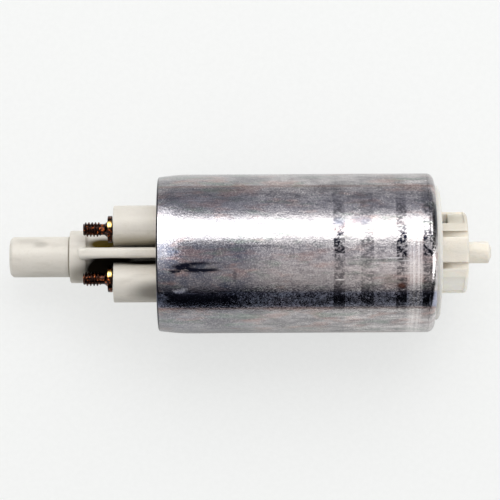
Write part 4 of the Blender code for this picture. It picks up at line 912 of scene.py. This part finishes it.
# Features that both mouldings share, and those hidden inside the outlet moulding, in metres
GROOVE_SETBACK, GROOVE_WIDTH, GROOVE_DEPTH = 0.0009, 0.0020, 0.0018
ROOT_SUNK = 0.002
MOUTH_DEPTH, MOUTH_TAPER = 0.0018, 0.0001
PASSAGE_RADIUS, PASSAGE_START, BORE_START = 0.0022, 0.0030, 0.0005
RELIEF_SEAT, RELIEF_SEAT_DEPTH, RELIEF_HEIGHT = 0.0011, 0.0026, 0.0112
BUSH_RADIUS, BUSH_DEPTH, SHAFT_RADIUS, SHAFT_DEPTH = 0.0038, 0.0053, 0.0023, 0.0059
CHAMBER_START, CHAMBER_SHIFT = 0.0027, 0.0004
CHAMBER_HALF_WIDTH, CHAMBER_HALF_HEIGHT = 0.0024, 0.0029
STUD_HOLE_RADIUS, STUD_HOLE_DEPTH = 0.0016, 0.0037


def groove(near, far, outer):
    """Outline of a seal ring's groove from one side to the other."""
    floor = outer - GROOVE_DEPTH
    return [(near, outer), (near, floor), (far, floor), (far, outer)]


class PUMP_OT_outlet(bpy.types.Operator):
    """Make the outlet moulding with its spout, towers and web"""

    bl_idname = "pump.outlet"
    bl_label = "Outlet moulding"

    def execute(self, context):
        sizes, colours = context.scene.pump_sizes, context.scene.pump_colours
        edge, tip = sizes.moulded_edge, X_OUTLET_END
        x_collar = tip + sizes.nipple_length
        x_base = x_collar + sizes.collar_length
        x_tower = X_CASING - sizes.tower_length
        root = X_CASING + ROOT_SUNK
        x_shoulder = X_CASING + sizes.can_wall + FIT_GAP
        inside = sizes.can_radius - sizes.can_wall - FIT_GAP
        boss = sizes.rim_opening - FIT_GAP
        drawn = inside - sizes.can_taper_depth
        near = X_CAP_INNER - GROOVE_SETBACK
        body = [(X_CAP_INNER, 0.0), (X_CAP_INNER, inside),
                *groove(near, near - GROOVE_WIDTH, inside),
                (X_CASING + sizes.can_taper_length, inside), (x_shoulder + EDGE_BREAK, drawn),
                (x_shoulder, drawn - EDGE_BREAK), (x_shoulder, boss), (X_CASING, boss),
                (X_CASING, 0.0)]
        piece = lathe("outlet_moulding", softened(body, edge), segments=128)
        nipple, bore, chamfer = sizes.nipple_radius, sizes.nipple_bore, sizes.nipple_chamfer
        spout = stepped(root, (sizes.base_radius, x_base), (sizes.collar_radius, x_collar),
                        (nipple, tip + chamfer))[:-1]
        spout += [(tip, nipple - chamfer), (tip, bore), (tip + MOUTH_DEPTH, bore - MOUTH_TAPER),
                  (tip + MOUTH_DEPTH, 0.0)]
        tools = [lathe("spout", softened(spout, edge * 1.4, 4), segments=96, z=-sizes.spout_drop)]
        tower = softened(stepped(root, (sizes.tower_radius, x_tower)), edge, 4)
        for side in SIDES:
            tools.append(lathe("tower", tower, segments=96, y=side * sizes.tower_offset,
                               z=sizes.stud_height))
        half = sizes.web_thickness / 2
        foot = sizes.web_foot - sizes.spout_drop
        tools.append(box("web", (x_collar + sizes.web_setback, -half, foot),
                         (root, half, sizes.web_top), edge * 2.0))
        boolean(piece, "UNION", tools)
        past = X_CAP_INNER + CUT_PAST
        passage = stepped(past, (PASSAGE_RADIUS, X_CASING - PASSAGE_START),
                          (bore, tip + BORE_START))
        relief = stepped(past, (RELIEF_SEAT, X_CAP_INNER - RELIEF_SEAT_DEPTH),
                         (PASSAGE_RADIUS, X_CASING - CUT_PAST))
        bush = stepped(past, (BUSH_RADIUS, X_CAP_INNER - BUSH_DEPTH),
                       (SHAFT_RADIUS, X_CAP_INNER - SHAFT_DEPTH))
        hole = stepped(x_tower + STUD_HOLE_DEPTH, (STUD_HOLE_RADIUS, x_tower - CUT_PAST))
        cuts = [lathe("bore", passage, segments=96, z=-sizes.spout_drop),
                lathe("relief bore", relief, segments=48, z=RELIEF_HEIGHT),
                lathe("bush pocket", bush, segments=64)]
        for side in SIDES:
            middle = side * (sizes.stud_offset + CHAMBER_SHIFT)
            cuts.append(box("brush chamber", (x_tower + CHAMBER_START, middle - CHAMBER_HALF_WIDTH,
                                              sizes.stud_height - CHAMBER_HALF_HEIGHT),
                            (past, middle + CHAMBER_HALF_WIDTH,
                             sizes.stud_height + CHAMBER_HALF_HEIGHT)))
            cuts.append(lathe("stud hole", hole, segments=32, y=side * sizes.stud_offset,
                              z=sizes.stud_height))
        boolean(piece, "DIFFERENCE", cuts)
        grime_and_shade, dirt = colours.handling_dirt_and_shade, colours.outlet_recess_shade
        # The first two marks are handling smudges on the nipple. The rest are painted shade: along
        # the lower side of the nipple and collar, in the corner where the nipple meets the collar,
        # the shadow under the web's end, on the lower tower near the can and along its lower side,
        # in the gap between the web and the upper tower, the upper stud's shadow, and, in the
        # darkest colour, the web's shadow below it and in the gap beside the lower tower
        marks = (((-50.2, 2.6, -3.4), (2.6, 1.2, 1.6), 0.45, grime_and_shade),
                 ((-53.0, 3.6, -4.0), (5.0, 1.4, 2.0), 0.25, grime_and_shade),
                 ((-49.0, -4.8, -6.5), (12.0, 2.4, 4.0), 0.40, grime_and_shade),
                 ((-43.45, 0.0, -7.2), (0.35, 12.0, 12.0), 1.0, "#6E6552"),
                 ((-40.8, -4.6, -4.0), (4.2, 3.6, 6.0), 0.60, "#5E5644"),
                 ((-21.8, -9.4, 5.2), (9.0, 3.6, 5.0), 0.66, "#37332A"),
                 ((-27.0, -11.2, 2.0), (12.0, 2.4, 4.0), 0.45, grime_and_shade),
                 ((-27.0, 3.0, 3.6), (14.0, 2.6, 3.0), 0.45, "#8A7F60"),
                 ((-35.2, 2.6, -2.9), (5.4, 2.2, 3.0), 1.2, "#5A4A16"),
                 ((-33.6, -3.6, -3.5), (8.0, 5.2, 8.0), 2.2, dirt),
                 ((-33.0, -1.3, 0.0), (8.0, 0.9, 6.0), 1.6, dirt),
                 ((-25.0, -2.2, 0.0), (9.0, 1.3, 7.0), 1.6, dirt))
        # The recess colour here is painted shade, laid in by ambient occlusion
        material = acetal_material("natural_acetal_outlet", colours.outlet_plastic, "#4A4030",
                                   0.004, (0.40, 0.10, 0.6), marks, 0.15, edge)
        finished(piece, material, "outlet_cap")
        return {"FINISHED"}


# The terminal stud behind its thread, in metres. Its head is held in the moulding
HEAD_RADIUS, HEAD_THICKNESS, HEAD_DEPTH = 0.0016, 0.0008, 0.0030
SHANK_RADIUS = 0.0013
FLANGE_THICKNESS = 0.0011
CONE_RADIUS, CONE_LENGTH = 0.0020, 0.0008
THREAD_OVERLAP = 0.0003
STUD_EDGE = 0.00018
# Where the softbox's light meets the flange's rim, in millimetres from the flange's back and the
# stud's axis, and its height. The pale brass laid there is a painted highlight
BRIGHT_BACK, BRIGHT_SIDE, BRIGHT_HEIGHT = 0.6, 1.0, 4.3


class PUMP_OT_studs(bpy.types.Operator):
    """Make the two threaded terminal studs"""

    bl_idname = "pump.studs"
    bl_label = "Terminal studs"

    def execute(self, context):
        sizes = context.scene.pump_sizes
        tree = thread_tree()
        x_tower = X_CASING - sizes.tower_length
        back, tip, foot = x_tower - FIT_GAP, x_tower - sizes.stud_length, x_tower + HEAD_DEPTH
        brass = brass_material(context.scene.pump_colours, [
            (back * MM - BRIGHT_BACK, side * sizes.stud_offset * MM + BRIGHT_SIDE, BRIGHT_HEIGHT)
            for side in SIDES])
        face = back - FLANGE_THICKNESS
        neck = sizes.thread_radius - sizes.thread_depth
        end = tip + sizes.thread_length - THREAD_OVERLAP
        outline = stepped(foot + HEAD_THICKNESS, (HEAD_RADIUS, foot), (SHANK_RADIUS, back),
                          (sizes.stud_flange, face))[:-1]
        outline += [(face, CONE_RADIUS), (face - CONE_LENGTH, neck), (end, neck), (end, 0.0)]
        for label, side in zip(("positive", "negative"), SIDES):
            y, z = side * sizes.stud_offset, sizes.stud_height
            thread = grown(f"stud_{label}", tree, {
                "Tip X": tip, "Length": sizes.thread_length, "Radius": sizes.thread_radius,
                "Depth": sizes.thread_depth, "Pitch": sizes.thread_pitch, "Y": y, "Z": z}, brass)
            core = lathe("stud body", softened(outline, STUD_EDGE), segments=64, y=y, z=z)
            join_shell(thread, core)
            finished(thread, brass, f"terminal_stud_{label}", angle=40.0)
        return {"FINISHED"}


# The drum's moulded details and the hidden inner face of the inlet moulding, in metres and degrees
DRUM_CHAMFER = 0.0005
POST_RADIUS, LID_THICKNESS, WELL_DEPTH = 0.0034, 0.0016, 0.0030
BAND_START, BAND_SWEEP, BAND_MARGIN = 42.0, 42.0, 0.0009
WINDOW_START, WINDOW_END = 43.5, 82.5
SLOT_SLOPE, SLOT_DEPTH = 12.0, 0.0002
RECESS_RADIUS, RECESS_DEPTH, POCKET_RADIUS, POCKET_DEPTH = 0.0149, 0.0031, 0.0025, 0.0039


class PUMP_OT_inlet(bpy.types.Operator):
    """Make the inlet moulding with its flange, ribbed drum and pin"""

    bl_idname = "pump.inlet"
    bl_label = "Inlet moulding"

    def execute(self, context):
        sizes, colours = context.scene.pump_sizes, context.scene.pump_colours
        edge, drum, pin = sizes.moulded_edge, sizes.drum_radius, sizes.pin_radius
        flange = X_CASING_END + sizes.flange_proud
        end = flange + sizes.drum_height
        inside = sizes.can_radius - sizes.can_wall - FIT_GAP
        lip = sizes.can_radius - sizes.curl_radius
        flange_r = lip - sizes.lip_turn - FIT_GAP
        curl_x = X_CASING_END - sizes.curl_radius
        under_lip = X_CASING_END - sizes.can_wall - FIT_GAP
        rounding = sizes.flange_round
        near = X_COVER + GROOVE_SETBACK
        body = [(X_PIN_END, 0.0), (X_PIN_END, sizes.pin_tip_radius),
                (X_PIN_END - sizes.pin_chamfer, pin), (end, pin), (end, drum - DRUM_CHAMFER),
                (end - DRUM_CHAMFER, drum), (flange, drum),
                *arc(flange - rounding, flange_r - rounding, rounding, 0.0, 90.0, 6),
                (under_lip, flange_r), *arc(curl_x, lip, under_lip - curl_x, 0.0, 90.0, 5),
                *groove(near + GROOVE_WIDTH, near, inside), (X_COVER, inside),
                *stepped(X_COVER, (RECESS_RADIUS, X_COVER + RECESS_DEPTH),
                         (POCKET_RADIUS, X_COVER + POCKET_DEPTH))[1:]]
        piece = lathe("inlet_moulding", softened(body, edge * 0.8), segments=144)
        inner = drum - sizes.drum_wall
        lid, well = end - LID_THICKNESS, flange - WELL_DEPTH
        hollow = [(lid, POST_RADIUS), (lid, inner), (well, inner), (well, POST_RADIUS)]
        cuts = [lathe("hollow", hollow, segments=96, ring=True)]
        foot, outside = flange + FIT_GAP, drum + CUT_PAST
        for turn in (0.0, 180.0):
            for start in (turn + BAND_START, turn - BAND_START - BAND_SWEEP):
                cuts.append(prism("band", sector(drum - sizes.band_depth, outside, start,
                                                 start + BAND_SWEEP), foot, end - BAND_MARGIN))
            window = sector(inner - CUT_PAST, outside, turn + WINDOW_START, turn + WINDOW_END)
            cuts.append(prism("window", window, foot, foot + sizes.window_height))
        cuts += drum_saws(sizes, foot, end)
        boolean(piece, "DIFFERENCE", cuts)
        # tan is painted shade: the colour of the translucent moulding where it is shaded in its
        # recesses, slots and corners
        tan = colours.inlet_recess_shade
        # Marks: painted shade in the upper band's corner by the flange; painted shade over the
        # upper side, in two marks; painted light over the lower side; a greyer tone on the wide rib
        # that faces up; the flange's own grey; the wide rib's painted shadow in the lower slot;
        # painted shade at the pin's root
        marks = (((46.0, 8.0, 5.0), (4.2, 2.6, 3.5), 0.65, "#6E6250"),
                 ((48.0, 8.2, 5.0), (8.5, 3.0, 5.0), 0.70, "#B4AE9E"),
                 ((48.0, 6.0, 7.4), (9.0, 4.0, 5.0), 0.45, "#BDB7A9"),
                 ((48.0, -8.0, 4.5), (9.0, 6.0, 8.0), 1.1, "#FFFAF0"),
                 ((49.0, 0.6, 9.4), (8.0, 3.4, 3.0), 0.45, "#CFCABF"),
                 ((44.6, 0.0, 0.0), (1.2, 90.0, 90.0), 0.8, "#D9D9D6"),
                 ((45.6, -3.7, 7.8), (3.0, 1.3, 2.0), 0.35, tan),
                 ((52.0, 0.0, 0.0), (0.4, 3.2, 3.2), 0.4, tan))
        material = acetal_material("natural_acetal_inlet", colours.inlet_plastic, tan, 0.0016,
                                   (0.30, 0.04, 0.30), marks, 0.55, edge)
        finished(piece, material, "inlet_cover")
        return {"FINISHED"}


def drum_saws(sizes, foot, end):
    """The four sloping slots, two on each face of the drum, deepest at the flange."""
    drum, slot = sizes.drum_radius, sizes.slot_width
    middle = (sizes.rib_width + slot) / 2
    shallow = math.sqrt(drum ** 2 - (sizes.rib_width / 2 + slot) ** 2) - SLOT_DEPTH
    deep = shallow - sizes.drum_height * math.tan(math.radians(SLOT_SLOPE))
    past, top = end + CUT_PAST, drum + CUT_PAST
    return [prism("saw", [(foot, up * deep), (past, up * shallow), (past, up * top),
                          (foot, up * top)],
                  side * middle - slot / 2, side * middle + slot / 2, along_y=True)
            for up in SIDES for side in SIDES]


# Closed turns at each end, strands, turns of lay, material, material slot
SPRING = (0.75, 1, 0.0, "spring_wire", "spring_steel")
LEAD = (0.0, 6, 4.0, "copper_braid", "copper")

# Springs and leads: CAD node, joint that shortens it, wire in metres, turns, kind
WIRES = (("brush_spring_positive", "positive_brush_slide", 0.0004, 6.5, SPRING),
         ("brush_spring_negative", "negative_brush_slide", 0.0004, 6.5, SPRING),
         ("check_valve_spring", "check_valve_slide", 0.00035, 3.75, SPRING),
         ("relief_valve_spring", "relief_valve_slide", 0.0003, 4.0, SPRING),
         ("brush_lead_positive", "positive_brush_slide", 0.00026, 1.0, LEAD),
         ("brush_lead_negative", "negative_brush_slide", 0.00026, 1.0, LEAD))


class PUMP_OT_wires(bpy.types.Operator):
    """Make the springs and the brush leads, each at the length of its CAD node"""

    bl_idname = "pump.wires"
    bl_label = "Springs and leads"

    def execute(self, context):
        tree = laid_wire_tree()
        for node, joint, wire, turns, (closed, strands, lay, look, slot) in WIRES:
            low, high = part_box(node)
            middle, reach = (low + high) / 2, (high - low) / 2
            # A lead's strands lie side by side on a circle
            circle = wire if strands > 1 else 0.0
            material = inner_material(look)
            piece = grown(f"laid_{node}", tree, {
                "Start X": low.x + wire / 2, "Y": middle.y, "Z": middle.z,
                "Length": high.x - low.x - wire, "Turns": turns, "Closed": closed, "Wire": wire,
                "Reach Y": max(reach.y - wire / 2 - circle, 0.0),
                "Reach Z": reach.z - wire / 2 - circle, "Strands": strands,
                "Strand Circle": circle, "Lay": lay}, material)
            finished(piece, material, node, angle=60.0)
            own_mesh(piece)
        return {"FINISHED"}


# The inner parts' materials, by name: two colours, mark size in mm, roughness, metallic, stretch
# along X, relief in metres, whether the marks run round the axis, and the CAD nodes that have it
INNER_LOOKS = {
    # Moulded rubber: black, matt, with a fine bloom
    "nitrile_rubber": ("#1B1B1C", "#2A2A2B", 0.5, (0.45, 0.62), 0.0, 1.0, 0.000008, False,
                       ("cap_seal_ring", "cover_seal_ring", "check_valve_poppet")),
    # Pressed and fired carbon: dark grey with a graphite glint, porous at about 0.1 mm
    "pressed_carbon": ("#262527", "#3A393C", 0.2, (0.35, 0.6), 0.0, 1.0, 0.00002, False,
                       ("brush_positive", "brush_negative")),
    # Drawn spring steel wire: bright, with die lines
    "spring_wire": ("#9FA1A5", "#C2C4C8", 0.3, (0.18, 0.32), 1.0, 4.0, 0.000003, False,
                    ("magnet_clip_1", "magnet_clip_2", "relief_valve_ball")),
    # Bare copper wires of about 0.1 mm, braided: the mottle stands for them
    "copper_braid": ("#8E4A2B", "#D08A5E", 0.25, (0.3, 0.5), 1.0, 2.0, 0.00004, False, ()),
    # Moulded acetal, natural
    "acetal_trim": ("#D9D3C5", "#CFC8B8", 0.8, (0.4, 0.5), 0.0, 1.0, 0.000008, False,
                    ("check_valve_cage", "thrust_washer")),
    # Turned brass: tool marks round the axis
    "turned_brass": ("#A9843F", "#CDA862", 0.15, (0.2, 0.35), 1.0, 1.0, 0.000005, True,
                     ("relief_valve_plug",)),
    # Sintered bronze: pressed powder, open pores of about 0.1 mm
    "sintered_bronze": ("#6E5630", "#A07D45", 0.2, (0.4, 0.6), 1.0, 1.0, 0.00003, False,
                        ("outlet_bearing_bush", "inlet_bearing_bush")),
    # Centreless-ground steel: fine marks round the axis
    "ground_steel": ("#A6A8AC", "#C4C6CA", 0.08, (0.14, 0.24), 1.0, 1.0, 0.000002, True,
                     ("armature_shaft",)),
    # Stacked 0.5 mm electrical steel sheets, seen as lines across X
    "stacked_steel": ("#55575B", "#85878B", 0.5, (0.35, 0.5), 1.0, 0.08, 0.00003, False,
                      ("armature_core",)),
    # Copper wire under brown enamel, laid in turns of about 0.5 mm
    "enamelled_copper": ("#6A2A12", "#B4622F", 0.5, (0.18, 0.35), 0.6, 8.0, 0.00008, False,
                         ("armature_winding",)),
    # Copper face turned flat, with a brown brush track
    "commutator_copper": ("#8A4A2A", "#C77B4C", 0.12, (0.22, 0.4), 1.0, 1.0, 0.000004, True,
                          ("commutator",)),
    # Rolled steel strip, dull
    "rolled_steel": ("#6C6F73", "#8B8E92", 0.6, (0.32, 0.48), 1.0, 0.2, 0.000005, False,
                     ("flux_ring",)),
    # Sintered ferrite: charcoal, ground faces
    "sintered_ferrite": ("#2E2F32", "#434448", 0.3, (0.5, 0.7), 0.0, 5.0, 0.00001, False,
                         ("magnet_north", "magnet_south")),
    # Die-cast aluminium with flow marks
    "die_cast_aluminium": ("#9A9CA0", "#B6B8BB", 1.2, (0.32, 0.48), 1.0, 1.0, 0.00002, False,
                           ("pump_body",)),
    # Moulded phenolic resin, brown with filler specks of about 0.2 mm
    "phenolic_resin": ("#3B2A1C", "#5C4530", 0.25, (0.3, 0.45), 0.0, 1.0, 0.00001, False,
                       ("impeller",)),
}


def inner_material(name):
    """An inner part's material, made when first asked for: two colours mottled at a real size."""
    if name in bpy.data.materials:
        return bpy.data.materials[name]
    dark, light, size, rough, metallic, stretch, relief, turned, _ = INNER_LOOKS[name]
    material, tree, shader, place = new_material(name, {"Metallic": metallic})
    if turned:
        parts = add(tree, SPLIT, (place,)).outputs
        flat = add(tree, COMBINE, {"Y": parts["Y"], "Z": parts["Z"]})
        place = add(tree, COMBINE, {"X": parts["X"], "Y": add(tree, DISTANCE, (flat,))})
    marks = patches(tree, place, size, 0.30, 0.70, stretch=stretch)
    broad = patches(tree, place, size * 8.0, 0.30, 0.70, 0.0, 0.3)
    tone = add(tree, MIX, (add(tree, TIMES_PLUS, (marks, 0.7, broad)), dark, light))
    wire_up(tree, shader, {"Base Color": tone,
                           "Roughness": add(tree, RANGE, (marks, 0.0, 1.0, *rough)),
                           "Normal": add(tree, BUMP, {"Height": marks, "Distance": relief})})
    return material


class PUMP_OT_inner_parts(bpy.types.Operator):
    """Give every inner part that stays as its CAD node its own material"""

    bl_idname = "pump.inner_parts"
    bl_label = "Inner parts"

    def execute(self, context):
        for name, (*_, nodes) in INNER_LOOKS.items():
            for node in nodes:
                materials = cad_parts[node].data.materials
                materials.clear()
                materials.append(inner_material(name))
        return {"FINISHED"}


class PUMP_PT_sidebar(bpy.types.Panel):
    """Lists the pump's sizes, colours and pieces"""

    bl_idname = "PUMP_PT_sidebar"
    bl_label = "Fuel pump"
    bl_space_type = "VIEW_3D"
    bl_region_type = "UI"
    bl_category = "Fuel pump"

    def draw(self, context):
        for title, group in (("Sizes", context.scene.pump_sizes),
                             ("Colours", context.scene.pump_colours)):
            panel_box = self.layout.box()
            panel_box.label(text=title)
            for key in group.__annotations__:
                panel_box.prop(group, key)
        for operator in OPERATORS:
            self.layout.operator(operator.bl_idname)


OPERATORS = (PUMP_OT_stage, PUMP_OT_can, PUMP_OT_outlet, PUMP_OT_studs, PUMP_OT_inlet,
             PUMP_OT_wires, PUMP_OT_inner_parts)
CLASSES = (PumpSizes, PumpColours, *OPERATORS, PUMP_PT_sidebar)


def register():
    for thing in CLASSES:
        bpy.utils.register_class(thing)
    bpy.types.Scene.pump_sizes = bpy.props.PointerProperty(type=PumpSizes)
    bpy.types.Scene.pump_colours = bpy.props.PointerProperty(type=PumpColours)


def unregister():
    del bpy.types.Scene.pump_colours
    del bpy.types.Scene.pump_sizes
    for thing in reversed(CLASSES):
        bpy.utils.unregister_class(thing)


def main():
    register()
    for operator in OPERATORS:
        family, name = operator.bl_idname.split(".")
        getattr(getattr(bpy.ops, family), name)()
    bpy.context.view_layer.update()


if __name__ == "__main__":
    main()
